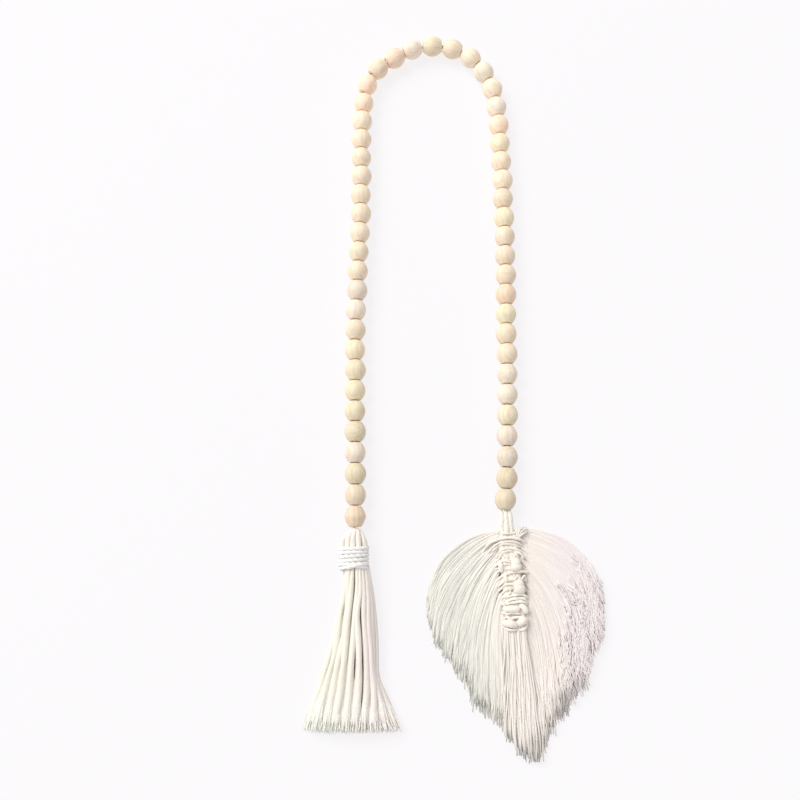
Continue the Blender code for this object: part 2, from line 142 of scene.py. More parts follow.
def new_group(name, inputs, outputs):
    """An empty shader node group with its named sockets, and its two end nodes."""
    group = bpy.data.node_groups.new(name, "ShaderNodeTree")
    for label, kind, value in inputs:
        socket = group.interface.new_socket(label, in_out="INPUT", socket_type=kind)
        if value is not None:
            socket.default_value = value
    for label, kind in outputs:
        group.interface.new_socket(label, in_out="OUTPUT", socket_type=kind)
    return group, group.nodes.new("NodeGroupInput"), group.nodes.new("NodeGroupOutput")


def new_material(name, roughness, **surface):
    """A node material whose Principled shader has the values that hold all over it."""
    material = bpy.data.materials.new(name)
    material.use_nodes = True
    tree = material.node_tree
    shader = tree.nodes["Principled BSDF"]
    shader.inputs["Roughness"].default_value = roughness
    for key, value in surface.items():
        shader.inputs[key.replace("_", " ")].default_value = value
    return material, tree, shader


def make_wood():
    """Turned wood: growth rings, fine lines, pores and the bead's own tone."""
    material, tree, shader = new_material("turned_wood", roughness=0.55, IOR=1.45)
    grain = add_node(tree, "Attribute", attribute_name="grain").outputs["Vector"]
    tone = add_node(tree, "Attribute", attribute_name="tone").outputs["Color"]
    places = {"Vector": stretched(tree, grain, RING_STRETCH)}
    rings = add_node(tree, "TexNoise", places, Scale=1.0, Detail=3.0, Roughness=0.55)
    lines = add_node(tree, "TexWave", places, wave_type="BANDS", bands_direction="X",
                     Scale=0.16, Distortion=5.0, Detail=2.0, Detail_Scale=0.6)
    places = {"Vector": stretched(tree, grain, PORE_STRETCH)}
    pores = add_node(tree, "TexNoise", places, Scale=1.0, Detail=2.0, Roughness=0.6)

    figure = between(tree, rings.outputs["Fac"], *RING_TONES)
    for texture, tones in ((lines, LINE_TONES), (pores, PORE_TONES)):
        figure = combined(tree, "MULTIPLY", figure,
                          between(tree, texture.outputs["Fac"], *tones))
    warm = add_node(tree, "Mix", data_type="RGBA", blend_type="MULTIPLY", B=WARMTH)
    rough = between(tree, pores.outputs["Fac"], *PORE_ROUGHNESS)
    bump = add_node(tree, "Bump", {"Height": figure}, Strength=0.25, Distance=0.00006)
    for source, socket in ((between(tree, figure, *WARM_TONES), warm.inputs["Factor"]),
                           (shaded(tree, tone, figure), warm.inputs["A"]),
                           (warm.outputs["Result"], shader.inputs["Base Color"]),
                           (rough, shader.inputs["Roughness"]),
                           (bump.outputs["Normal"], shader.inputs["Normal"])):
        tree.links.new(source, socket)
    return material


def bead_profile(roundness):
    """(radius, height) down the bead's outside, over its sanded rims and back up its bore."""
    def barrel(height):
        share = abs(height) / BEAD_HALF_LENGTH
        return BEAD_RADIUS * (1.0 - (1.0 - BEAD_FACE) * share ** roundness)

    face_height = BEAD_HALF_LENGTH
    shoulder = face_height - BORE_LIP
    heights = np.sin(np.linspace(-1.0, 1.0, BARREL_STEPS) * math.pi / 2) * shoulder
    outside = [(barrel(height), height) for height in heights]
    edge = barrel(face_height)
    corner = LIP_CORNER * BORE_LIP
    face = [(edge - corner, face_height - corner), (edge - BORE_LIP, face_height),
            ((edge + BORE_RADIUS) / 2, face_height), (BORE_RADIUS + BORE_LIP, face_height),
            (BORE_RADIUS + corner, face_height - corner), (BORE_RADIUS, face_height - BORE_LIP)]
    mirrored = [(radius, -height) for radius, height in reversed(face)]
    return outside + face + mirrored


def keep_on_points(mesh, label, values):
    """Keep a vector or, where there are four values, a colour on each point of a mesh."""
    kind, field = (("FLOAT_COLOR", "color") if values.shape[1] == 4
                   else ("FLOAT_VECTOR", "vector"))
    mesh.attributes.new(label, kind, "POINT").data.foreach_set(
        field, values.astype(np.float32).ravel())


def opaque(colours, count):
    """Colours for so many points, with an alpha of one."""
    values = np.ones((count, 4), np.float32)
    values[:, :3] = colours
    return values


def add_bead(number, name, middle, bore, rng):
    """Turn one bead round its own axis and lay it on the string."""
    roundness = END_BEAD_ROUNDNESS if number == 1 else rng.uniform(*BEAD_ROUNDNESS)
    profile = np.array(bead_profile(roundness)) * rng.uniform(*BEAD_SIZES)
    angles = np.arange(BEAD_SEGMENTS) * 2 * math.pi / BEAD_SEGMENTS
    radius, height = profile.T
    local = np.stack([radius[None] * np.cos(angles)[:, None],
                      radius[None] * np.sin(angles)[:, None],
                      np.broadcast_to(height, (BEAD_SEGMENTS, len(height)))], axis=-1)
    count = len(profile)
    faces = []
    for turn in range(BEAD_SEGMENTS):
        here, there = turn * count, (turn + 1) % BEAD_SEGMENTS * count
        for step in range(count):
            after = (step + 1) % count
            faces.append((here + step, there + step, there + after, here + after))
    mesh = bpy.data.meshes.new(name)
    mesh.from_pydata(local.reshape(-1, 3).tolist(), [], faces)
    mesh.shade_smooth()
    mesh.set_sharp_from_angle(angle=math.radians(BEAD_EDGE_ANGLE))

    degrees = (CROSS_GRAIN_LEAN if number in CROSS_GRAIN_BEADS
               else rng.uniform(0.0, GRAIN_LEAN))
    lean = Matrix.Rotation(math.radians(degrees), 3, "X")
    roll = Matrix.Rotation(rng.uniform(0.0, 2 * math.pi), 3, "Z")
    grain = (local.reshape(-1, 3) @ np.array(lean @ roll).T * TO_MM
             + rng.uniform(-GRAIN_REACH, GRAIN_REACH, 3))
    keep_on_points(mesh, "grain", grain)
    dowel = [colour for colour, numbers in DOWEL_BEADS if number in numbers] or [WOOD_CREAM]
    tone = np.array(dowel[0]) * rng.uniform(*TONE_SPREAD) * rng.uniform(*HUE_SPREAD, 3)
    for shade, numbers in BEAD_SHADES:
        if number in numbers:
            tone = tone * shade
    keep_on_points(mesh, "tone", opaque(tone, len(grain)))
    mesh.materials.append(wood)

    bead = bpy.data.objects.new(name + "_turned", mesh)
    bpy.context.collection.objects.link(bead)
    crooked = Matrix.Rotation(math.radians(rng.normal(0.0, BEAD_TILT / 2)), 4, "Z")
    sideways = Vector((-bore[1], bore[0], 0.0)) * float(rng.uniform(-BEAD_SHIFT, BEAD_SHIFT))
    along = Vector(bore).to_track_quat("Z", "X").to_matrix().to_4x4()
    bead.matrix_world = Matrix.Translation(Vector(middle) + sideways) @ crooked @ along
    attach(bead, "root")
    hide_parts(name)


wood = make_wood()
bead_rng = np.random.default_rng(seed=21)
for bead_number, bead in enumerate(zip(bead_names, bead_middles, bead_bores), start=1):
    add_bead(bead_number, *bead, bead_rng)

# ================================================================= string
# One length of three-ply cotton string runs through all the bores, from the tassel's loop to
# the leaf's neck. It shows only where two beads tip apart and at the two ends of the row.
STRING_RADIUS = 0.0015
STRING_LAY = 0.0085         # length of one full twist of the three plies
STRING_STEP = 0.0009
STRING_SIDES = 12
BEAD_FACE_TO_MIDDLE = 0.007375
PLY_DEPTH = 0.16            # depth of the grooves between the plies, as a share of the radius
COTTON_WHITE = (0.90, 0.885, 0.865)
# how a yarn's places in millimetres are stretched, for its fine and for its broad streaks
FIBRE_STRETCHES = ((3.4, 3.4, 0.16), (0.9, 0.9, 0.035))
STREAK_TONES = (0.7, 1.3, -1.0, 0.25)
FUZZ_RANGE = (0.3, 0.7)
FUZZ_ROUGHNESS = (-0.08, 0.05)  # how far the fuzz changes a cotton's roughness
FIBRE_OFFSET = 90.0         # millimetres, so that no two yarns have the same streaks
FIBRE_TURNS = (12.99, 78.23)  # radians from one yarn's offset to the next one's
CURVE_STEPS = 24            # of a smooth path, from one of its points to the next
# share of its cell in the UV square that a tube fills, where its side starts and how wide and
# tall it is there, and the places and the sizes of its two ends
UV_FILL = (0.94, 0.96)
UV_SIDE_ACROSS = (0.02, 0.98)
UV_SIDE_ALONG = (0.04, 0.92)
UV_CAPS = (0.016, 0.984)
UV_CAP_REACH = 0.4
UV_CAP_TALL = 0.03


def make_fibre_group():
    """Fibre streaks along a yarn, a fine and a broad set: their colour, height and fuzz."""
    group, entry, leave = new_group(
        "cotton_fibres",
        [("Fibre", "NodeSocketVector", None), ("Colour", "NodeSocketColor", (1, 1, 1, 1)),
         ("Contrast", "NodeSocketFloat", 0.12)],
        [("Colour", "NodeSocketColor"), ("Height", "NodeSocketFloat"),
         ("Fuzz", "NodeSocketFloat")])
    fine, broad = (
        add_node(group, "TexNoise", {"Vector": stretched(group, entry.outputs["Fibre"], shares)},
                 Scale=1.0, Detail=2.0).outputs["Fac"] for shares in FIBRE_STRETCHES)
    height = combined(group, "ADD", fine, broad)
    tone = add_node(group, "Math", {0: between(group, height, *STREAK_TONES),
                                    1: entry.outputs["Contrast"]}, operation="MULTIPLY_ADD")
    tone.inputs[2].default_value = 1.0
    colour = shaded(group, entry.outputs["Colour"], tone.outputs[0])
    for source, socket in ((colour, "Colour"), (height, "Height"), (fine, "Fuzz")):
        group.links.new(source, leave.inputs[socket])
    return group


fibre_group = make_fibre_group()


def make_cotton(name, roughness, sheen, contrast, relief):
    """Undyed cotton whose streaks run along the yarn."""
    material, tree, shader = new_material(
        name, roughness, Sheen_Weight=sheen, Sheen_Roughness=0.5, Specular_IOR_Level=0.2)
    fibre = add_node(tree, "Attribute", attribute_name="fibre").outputs["Vector"]
    dye = add_node(tree, "Attribute", attribute_name="dye").outputs["Color"]
    streaks = add_node(tree, "Group", node_tree=fibre_group)
    streaks.inputs["Contrast"].default_value = contrast
    rough = between(tree, streaks.outputs["Fuzz"], *FUZZ_RANGE,
                    roughness + FUZZ_ROUGHNESS[0], min(1.0, roughness + FUZZ_ROUGHNESS[1]))
    bump = add_node(tree, "Bump", {"Height": streaks.outputs["Height"]},
                    Strength=0.8, Distance=relief)
    for source, socket in ((fibre, streaks.inputs["Fibre"]), (dye, streaks.inputs["Colour"]),
                           (streaks.outputs["Colour"], shader.inputs["Base Color"]),
                           (rough, shader.inputs["Roughness"]),
                           (bump.outputs["Normal"], shader.inputs["Normal"])):
        tree.links.new(source, socket)
    return material


def tube(paths, radii, sides, dyes, lobes=0, groove=0.0, lay=None, flat=1.0, turn=0.0):
    """Points, faces, fibre places, dyes and lengthwise shares of one closed tube along each path.

    paths is (tubes, rings, 3) and radii (tubes, rings). lobes and groove shape the plies,
    which go once round in each lay. flat presses the section along its second axis.
    """
    paths = np.asarray(paths, float)
    count, rings = paths.shape[:2]
    radii = np.broadcast_to(radii, (count, rings))
    tangents = unit(np.gradient(paths, axis=1))
    normals = np.empty_like(paths)
    level = np.array((0.0, 0.0, 1.0)) + 1e-4  # so that no tube runs quite along it
    normal = np.cross(np.broadcast_to(level, (count, 3)), tangents[:, 0])
    for ring in range(rings):
        tangent = tangents[:, ring]
        normal = unit(normal - np.sum(normal * tangent, axis=1, keepdims=True) * tangent)
        normals[:, ring] = normal
    binormals = np.cross(tangents, normals)
    steps = np.linalg.norm(np.diff(paths, axis=1), axis=2)
    lengths = np.concatenate([np.zeros((count, 1)), np.cumsum(steps, axis=1)], axis=1)
    around = np.arange(sides) * 2 * math.pi / sides
    twisting = 2 * math.pi * lengths / lay if lay else np.zeros_like(lengths)
    turned = around + (twisting + np.reshape(turn, (-1, 1)))[..., None]
    reach = radii[..., None] * (1.0 + groove * (np.cos(lobes * around) - 1.0) / 2)
    points = (paths[:, :, None] + (reach * np.cos(turned))[..., None] * normals[:, :, None]
              + (flat * reach * np.sin(turned))[..., None] * binormals[:, :, None])

    offset = np.stack([np.sin(np.arange(count) * FIBRE_TURNS[0]) * FIBRE_OFFSET,
                       np.cos(np.arange(count) * FIBRE_TURNS[1]) * FIBRE_OFFSET], axis=1)
    fibre = np.stack([TO_MM * reach * np.cos(around) + offset[:, 0, None, None],
                      TO_MM * reach * np.sin(around) + offset[:, 1, None, None],
                      np.broadcast_to(TO_MM * lengths[..., None], reach.shape)], axis=-1)
    dyes = np.broadcast_to(np.asarray(dyes, float).reshape(
        {1: (1, 1, 3), 2: (-1, 1, 3), 3: (count, -1, 3)}[np.ndim(dyes)]), (count, rings, 3))
    dye = np.broadcast_to(dyes[:, :, None], points.shape)

    ring = np.arange(rings - 1)[:, None] * sides
    side = np.arange(sides)[None]
    after = (side + 1) % sides
    quads = np.stack([ring + side, ring + after, ring + sides + after, ring + sides + side],
                     axis=-1).reshape(-1, 4)
    caps = np.stack([np.arange(sides)[::-1], (rings - 1) * sides + np.arange(sides)])
    share = lengths / lengths[:, -1:]
    return {"points": points, "fibre": fibre, "dye": dye, "quads": quads, "caps": caps,
            "share": share, "sides": sides,
            "slender": float(lengths[:, -1].mean() / (2 * math.pi * radii.mean()))}


def tube_uv(made, cell_index, columns, rows):
    """Each tube's own strip of the UV square, and small patches in it for its two ends."""
    count, rings = made["share"].shape
    sides = made["sides"]
    cells = cell_index + np.arange(count)
    left, low = cells % columns / columns, cells // columns / rows
    wide, tall = UV_FILL[0] / columns, UV_FILL[1] / rows
    across = np.array((0.0, 1.0, 1.0, 0.0))
    side = (np.arange(sides)[:, None] + across) / sides
    u = np.broadcast_to(side[None, None], (count, rings - 1, sides, 4))
    v = np.stack([made["share"][:, :-1], made["share"][:, :-1], made["share"][:, 1:],
                  made["share"][:, 1:]], axis=-1)
    v = np.broadcast_to(v[:, :, None], u.shape)
    quads = np.stack([
        left[:, None, None, None] + wide * (UV_SIDE_ACROSS[0] + UV_SIDE_ACROSS[1] * u),
        low[:, None, None, None] + tall * (UV_SIDE_ALONG[0] + UV_SIDE_ALONG[1] * v)], axis=-1)
    round_cap = np.arange(sides) * 2 * math.pi / sides
    cap = np.stack([0.5 + UV_CAP_REACH * np.cos(round_cap), UV_CAP_REACH * np.sin(round_cap)],
                   axis=-1)
    caps = []
    for height in UV_CAPS:
        caps.append(np.stack([left[:, None] + wide * cap[:, 0],
                              low[:, None] + tall * (height + UV_CAP_TALL * cap[:, 1])],
                             axis=-1))
    return quads.reshape(-1, 2), np.stack(caps, axis=1).reshape(-1, 2)


def add_yarn(name, tubes, material, slot, node):
    """Join tubes into one mesh, which stands for its node and takes the material; the slot is not
    used.
    """
    total = sum(len(made["points"]) for made in tubes)
    slender = np.average([made["slender"] for made in tubes],
                         weights=[len(made["points"]) for made in tubes])
    columns = max(1, round(math.sqrt(total * slender)))
    rows = math.ceil(total / columns)
    points, fibre, dye, loops, sizes, smooth, uv = [], [], [], [], [], [], []
    first, cell = 0, 0
    for made in tubes:
        count = len(made["points"])
        per_tube = made["points"].shape[1] * made["sides"]
        starts = first + np.arange(count)[:, None, None] * per_tube
        quads, caps = made["quads"][None] + starts, made["caps"][None] + starts
        quad_uv, cap_uv = tube_uv(made, cell, columns, rows)
        for faces, corners, is_smooth in ((quads, quad_uv, True), (caps, cap_uv, False)):
            loops.append(faces.reshape(-1))
            sizes.append(np.full(faces.shape[0] * faces.shape[1], faces.shape[2]))
            smooth.append(np.full(faces.shape[0] * faces.shape[1], is_smooth))
            uv.append(corners)
        for store, key in ((points, "points"), (fibre, "fibre"), (dye, "dye")):
            store.append(made[key].reshape(-1, 3))
        first += count * per_tube
        cell += count
    points, fibre, dye = (np.concatenate(part).astype(np.float32)
                          for part in (points, fibre, dye))
    loops, sizes, uv = np.concatenate(loops), np.concatenate(sizes), np.concatenate(uv)
    mesh = bpy.data.meshes.new(name)
    mesh.vertices.add(len(points))
    mesh.vertices.foreach_set("co", points.ravel())
    mesh.loops.add(len(loops))
    mesh.loops.foreach_set("vertex_index", loops.astype(np.int32))
    mesh.polygons.add(len(sizes))
    mesh.polygons.foreach_set("loop_start", (np.cumsum(sizes) - sizes).astype(np.int32))
    mesh.polygons.foreach_set("use_smooth", np.concatenate(smooth))
    mesh.update(calc_edges=True)
    keep_on_points(mesh, "fibre", fibre)
    keep_on_points(mesh, "dye", opaque(dye, len(dye)))
    mesh.uv_layers.new(name="OFBake").data.foreach_set("uv", uv.astype(np.float32).ravel())
    mesh.materials.append(material)
    piece = bpy.data.objects.new(name, mesh)
    bpy.context.collection.objects.link(piece)
    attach(piece, "root")
    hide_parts(node)


def travelled_along(points):
    """The distance travelled at each of a row of points."""
    steps = np.linalg.norm(np.diff(points, axis=0), axis=1)
    return np.concatenate([[0.0], np.cumsum(steps)])


def smooth_path(points, step):
    """Evenly spaced places along a Catmull-Rom curve through a few points."""
    points = np.asarray(points, float)
    ends = np.concatenate([[2 * points[0] - points[1]], points, [2 * points[-1] - points[-2]]])
    t = np.linspace(0.0, 1.0, CURVE_STEPS, endpoint=False)[:, None]
    dense = []
    for before, start, stop, after in zip(ends, ends[1:], ends[2:], ends[3:]):
        dense.append(0.5 * (2 * start + (stop - before) * t
                            + (2 * before - 5 * start + 4 * stop - after) * t ** 2
                            + (3 * start - before - 3 * stop + after) * t ** 3))
    dense = np.concatenate([*dense, points[-1:]])
    travelled = travelled_along(dense)
    even = np.linspace(0.0, travelled[-1], max(3, round(travelled[-1] / step) + 1))
    return np.stack([np.interp(even, travelled, dense[:, axis]) for axis in range(3)], axis=1)


string_ends = (bead_middles[0] - bead_bores[0] * BEAD_FACE_TO_MIDDLE,
               bead_middles[-1] + bead_bores[-1] * BEAD_FACE_TO_MIDDLE)
string_cotton = make_cotton("string_cotton", roughness=0.92, sheen=0.15, contrast=0.14,
                            relief=0.0001)
string_path = smooth_path([string_ends[0], *bead_middles, string_ends[1]], STRING_STEP)
add_yarn("string_twisted",
         [tube(string_path[None], STRING_RADIUS, STRING_SIDES, COTTON_WHITE, lobes=3,
               groove=2 * PLY_DEPTH, lay=STRING_LAY)],
         string_cotton, "string_cotton", "string")

# ================================================================= tassel
# Soft cotton cords, folded over the string's end and bound below the fold. Five folds show in
# the crown, and thirty-four cut cords hang below the binding: they fan out towards the cut,
# part here and there, and each is frayed into its yarns over the last two centimetres.
TASSEL_TOP = string_ends[0]
TASSEL_AXIS_HEIGHT = 0.0083
CROWN_FOLDS = 5
CROWN_FOLD_RADIUS = 0.00215
CROWN_STEP = 0.0008
CROWN_LAY = 0.03
CROWN_LEAN = -0.0012        # sideways, reached so far below the bead
CROWN_LEAN_BELOW = 0.008
CROWN_SLUMP = 0.0012        # how much lower the outer folds lie than the middle one
CROWN_HOLLOW = 0.8          # how much less the outer folds stand out
# below the bead, half width and half height of the bundle of folds, to the cords' middles
CROWN_SECTIONS = ((0.0024, 0.0034, 0.0012), (0.0050, 0.0054, 0.0030), (0.0090, 0.0074, 0.0047),
                  (0.0150, 0.0076, 0.0050), (0.0260, 0.0076, 0.0050))
# below the bead, left edge, right edge and height of the skirt
SKIRT_SECTIONS = (
    (0.0180, -0.0092, 0.0068, 0.0142), (0.0280, -0.0094, 0.0100, 0.0154),
    (0.0370, -0.0090, 0.0122, 0.0156), (0.0520, -0.0098, 0.0142, 0.0152),
    (0.0780, -0.0132, 0.0158, 0.0144), (0.1020, -0.0208, 0.0180, 0.0132),
    (0.1200, -0.0288, 0.0240, 0.0122), (0.1365, -0.0328, 0.0328, 0.0112),
)
SKIRT_LAYERS = (10, 14)     # cords in the under and the middle layer
LAYER_LEVELS = ((0.0, 0.07), (0.48, 0.82), (0.93, 1.0))  # in its height, at its top and its cut
MM = 0.001                  # a millimetre
# the front cords' middles, sideways from the last bead in millimetres, at these places below it
FRONT_LEVELS = (0.0180, 0.0270, 0.0425, 0.0580, 0.0730, 0.0880, 0.1035, 0.1180, 0.1365)
FRONT_CORDS = (
    (-5.0, -5.8, -6.8, -10.2, -12.9, -17.6, -22.2, -26.8, -30.6),
    (-4.2, -4.7, -5.8, -9.3, -11.2, -13.9, -17.6, -21.2, -24.9),
    (-3.0, -3.4, -4.0, -5.3, -6.6, -10.0, -12.6, -15.4, -18.7),
    (-1.4, -1.5, -1.9, -3.5, -5.2, -6.7, -7.9, -9.6, -12.0),
    (0.6, 1.1, 2.0, 0.9, -0.1, -1.8, -2.6, -3.4, -5.4),
    (2.6, 2.9, 4.0, 2.4, 3.15, 3.35, 3.3, 2.6, 0.9),
    (4.0, 4.8, 6.2, 6.7, 7.95, 8.35, 8.65, 8.2, 7.2),
    (5.2, 6.6, 8.4, 9.3, 10.4, 11.2, 12.5, 13.6, 13.9),
    (5.8, 8.0, 10.3, 11.2, 11.8, 12.8, 14.5, 18.4, 21.4),
    (6.0, 8.8, 11.4, 13.0, 13.8, 14.6, 16.0, 22.4, 28.4),
)
FRONT_LIFTS = (-1.4, 0.0, -0.5, 0.3, 0.0, 0.5, 0.2, 0.5, -0.2, -1.2)  # millimetres
# the front cords between which the skirt has parted, and from where to where below the bead
PARTINGS = ((4, 5, 0.078, 0.112), (5, 6, 0.048, 0.134))
PARTING_CLEAR = 0.0005      # half width that the middle layer leaves open under a parting
PARTING_TAPER = 0.015       # over which that opens and closes
SKIRT_CROWN = 0.40          # how much lower the bundle is at its sides
SKIRT_RINGS = 64
SKIRT_RADII = ((0.0180, 0.00120), (0.0300, 0.00150), (0.0520, 0.00205), (0.0900, 0.00245),
               (0.1365, 0.00305))
SKIRT_RAGGED = 0.0016
CORD_SIDES = 12
CORD_PLIES = 2
CORD_GROOVE = 0.10
CORD_LAY = 0.06
CORD_JITTER = 0.12          # of a cord's place, as a share of the distance to the next
CORD_THICKNESS = (0.90, 1.08)
# thickness of the covered cords at the top, what it gains, and how soon
COVERED_CORDS = (0.62, 0.42, 1.6)
# how far the covered cords swing, as a share of the skirt's width, and how soon
SWING = (0.030, 1.5)
SWING_CELLS = (9, 5)
# how far a cord wavers, and the radians of its waves from top to cut
WAVER = (0.012, 9)          # of a covered cord, as a share of the skirt's width
FRONT_WAVER = (0.0003, 11)  # of a front cord, in metres
ANY_PHASE = 7               # radians, a little over a full turn
FRONT_LIFT_SOON = 2         # how soon a front cord has its own height
CLEARANCE = 0.0001          # between the lowest yarns and the surface
FRAY_LENGTH = 0.020
FRAY_LENGTHS = (0.7, 1.3)   # from the shortest to the longest, as shares of that
FRAY_RINGS = 14
FRAY_SIDES = 5
FRAY_YARNS = 24             # yarns that show at one cord's frayed end
FRAY_RADIUS = 0.00040
FRAY_THICKNESS = (0.75, 1.15)
FRAY_RING = (0.80, 0.84)    # where they start, sideways and upward, as shares of the radius
FRAY_SPREAD = (0.50, 0.18)  # and how far they spread
FRAY_LOOSENESS = (0.1, 1.9)
FRAY_POWER = 1.5            # how late they spread
FRAY_TURN = 0.5             # radians that they wander round their cord
FRAY_THIN_START = (0.6, 0.4, 3)  # thickness at their start, what it gains, and how soon
FRAY_THIN_END = 0.45
FRAY_INWARD = (0.0, 0.0, 0.55, 0.0, 0.85)  # some bend in over the cut, each by this share
FRAY_BEND = (0.5, 0.25)     # where along a yarn that starts, and over what share of it
FRAY_RAGGED = (-0.0014, 0.0012)
FRAY_CORE = 2               # rings by which a cord's core ends before its yarns do
CORE_END = (0.86, 0.50)     # thickness of the core's last two rings
YARN_JITTER = 0.3           # of a yarn's place round its cord, as a share of the distance
FIBRE_RADIUS = 0.00013      # of single fibres that stand out of the cut ends
FIBRE_RINGS = 5
FIBRE_SIDES = 3
FIBRE_THIN_END = 0.5
FIBRE_DROOP = 0.0012
FIBRE_CURL = 0.5            # how much they curl, as a share of how much they lean
FIBRE_LEAN_LIMIT = 0.9
TASSEL_FIBRES = 360
TASSEL_FIBRE_LEAN = 0.4
TASSEL_FIBRE_LENGTHS = (0.0010, 0.0032)
CORD_CREAM = (0.885, 0.83, 0.755)
CORD_LEFT = np.array((0.975, 0.995, 0.965))   # tint of the cords on the left
CORD_RIGHT = np.array((1.015, 0.985, 1.005))  # and on the right
CORD_TINT_MIDDLE = 0.002    # sideways from the bead, where the two meet
CORD_TINT_WIDTH = 0.030
FRAY_TINT = np.array((1.08, 1.12, 1.16))      # the cords are whiter inside


def read_table(rows, position, column):
    """A column of a table at places along its first column, with smooth turns at its rows."""
    rows = np.asarray(rows, float)
    slopes = np.gradient(rows[:, column], rows[:, 0])
    position = np.clip(position, rows[0, 0], rows[-1, 0])
    cell = np.clip(np.searchsorted(rows[:, 0], position, side="right") - 1, 0, len(rows) - 2)
    width = rows[cell + 1, 0] - rows[cell, 0]
    t = (position - rows[cell, 0]) / width
    return ((2 * t ** 3 - 3 * t ** 2 + 1) * rows[cell, column]
            + (t ** 3 - 2 * t ** 2 + t) * width * slopes[cell]
            + (3 * t ** 2 - 2 * t ** 3) * rows[cell + 1, column]
            + (t ** 3 - t ** 2) * width * slopes[cell + 1])


def ease(t):
    """A smooth step from 0 to 1."""
    t = np.clip(t, 0.0, 1.0)
    return t * t * (3.0 - 2.0 * t)


def rise(place, start, length):
    """A smooth step from 0 to 1 that begins at a start and takes a length."""
    return ease((place - start) / length)


def swell(share, start, gain, soon):
    """A thickness or width that gains something on its way."""
    return start + gain * ease(share * soon)


def mix(first, second, share):
    """The first value where the share is 0, and the second where it is 1."""
    return first * (1 - share) + second * share


def as_arrays(rows):
    """The columns of a list of rows, each as one array."""
    return [np.array(column) for column in zip(*rows)]


def drift(rng, across_cells, along_cells):
    """A smooth random field from -1 to 1 over the unit square."""
    grid = rng.uniform(-1.0, 1.0, (across_cells + 1, along_cells + 1))

    def read(across, along):
        x = np.clip(across, 0.0, 1.0) * across_cells
        y = np.clip(along, 0.0, 1.0) * along_cells
        i = np.minimum(x.astype(int), across_cells - 1)
        j = np.minimum(y.astype(int), along_cells - 1)
        s, t = ease(x - i), ease(y - j)
        return mix(mix(grid[i, j], grid[i + 1, j], s),
                   mix(grid[i, j + 1], grid[i + 1, j + 1], s), t)

    return read


def tints(rng, count, base, spread=0.025, hue=0.008):
    """A slightly different shade of one colour for each of many yarns."""
    return (np.array(base) * rng.uniform(1 - spread, 1 + spread, (count, 1))
            * rng.uniform(1 - hue, 1 + hue, (count, 3)))


def cord_tints(rng, paths):
    """The cords' shades: a little greener to the left and pinker to the right."""
    blend = ease(0.5 + (paths[:, -1, :1] - TASSEL_TOP[0] - CORD_TINT_MIDDLE) / CORD_TINT_WIDTH)
    return tints(rng, len(paths), CORD_CREAM) * mix(CORD_LEFT, CORD_RIGHT, blend)


def thinned(path, count):
    """So many of a path's points, picked evenly."""
    return path[np.linspace(0, len(path) - 1, count).round().astype(int)]


def crown_folds(rng):
    """Cords that come up at the back, over the string's loop and down at the front."""
    folds = []
    for across in np.linspace(-1.0, 1.0, CROWN_FOLDS):
        bulge = math.sqrt(1.0 - CROWN_HOLLOW * across ** 2)
        points = []
        for back, rows in ((-1, CROWN_SECTIONS[::-1]), (1, CROWN_SECTIONS)):
            for below, half_width, half_height in rows:
                lean = CROWN_LEAN * min(1.0, below / CROWN_LEAN_BELOW)
                points.append((TASSEL_TOP[0] + lean + across * half_width,
                               TASSEL_TOP[1] - below - CROWN_SLUMP * across ** 2,
                               TASSEL_AXIS_HEIGHT + back * half_height * bulge))
        folds.append(smooth_path(points, CROWN_STEP))
    shortest = min(len(path) for path in folds)
    paths = np.stack([thinned(path, shortest) for path in folds])
    return tube(paths, CROWN_FOLD_RADIUS, CORD_SIDES, tints(rng, len(paths), CORD_CREAM),
                lobes=3, groove=PLY_DEPTH, lay=CROWN_LAY)


def front_line(row, below):
    """How far to the side a line of the skirt's front is, at places below the bead."""
    return MM * read_table(np.column_stack([FRONT_LEVELS, row]), below, 1)


def part_cord(x, below, radius):
    """Move a cord of the middle layer sideways, clear of the partings above it."""
    for left, right, top, bottom in PARTINGS:
        line = front_line(np.add(FRONT_CORDS[left], FRONT_CORDS[right]) / 2, below)
        away = math.copysign(1.0, (x - line)[len(x) // 2])
        opened = rise(below, top, PARTING_TAPER) * ease((bottom - below) / PARTING_TAPER)
        x = line + away * np.maximum(away * (x - line), (radius + PARTING_CLEAR) * opened)
    return x


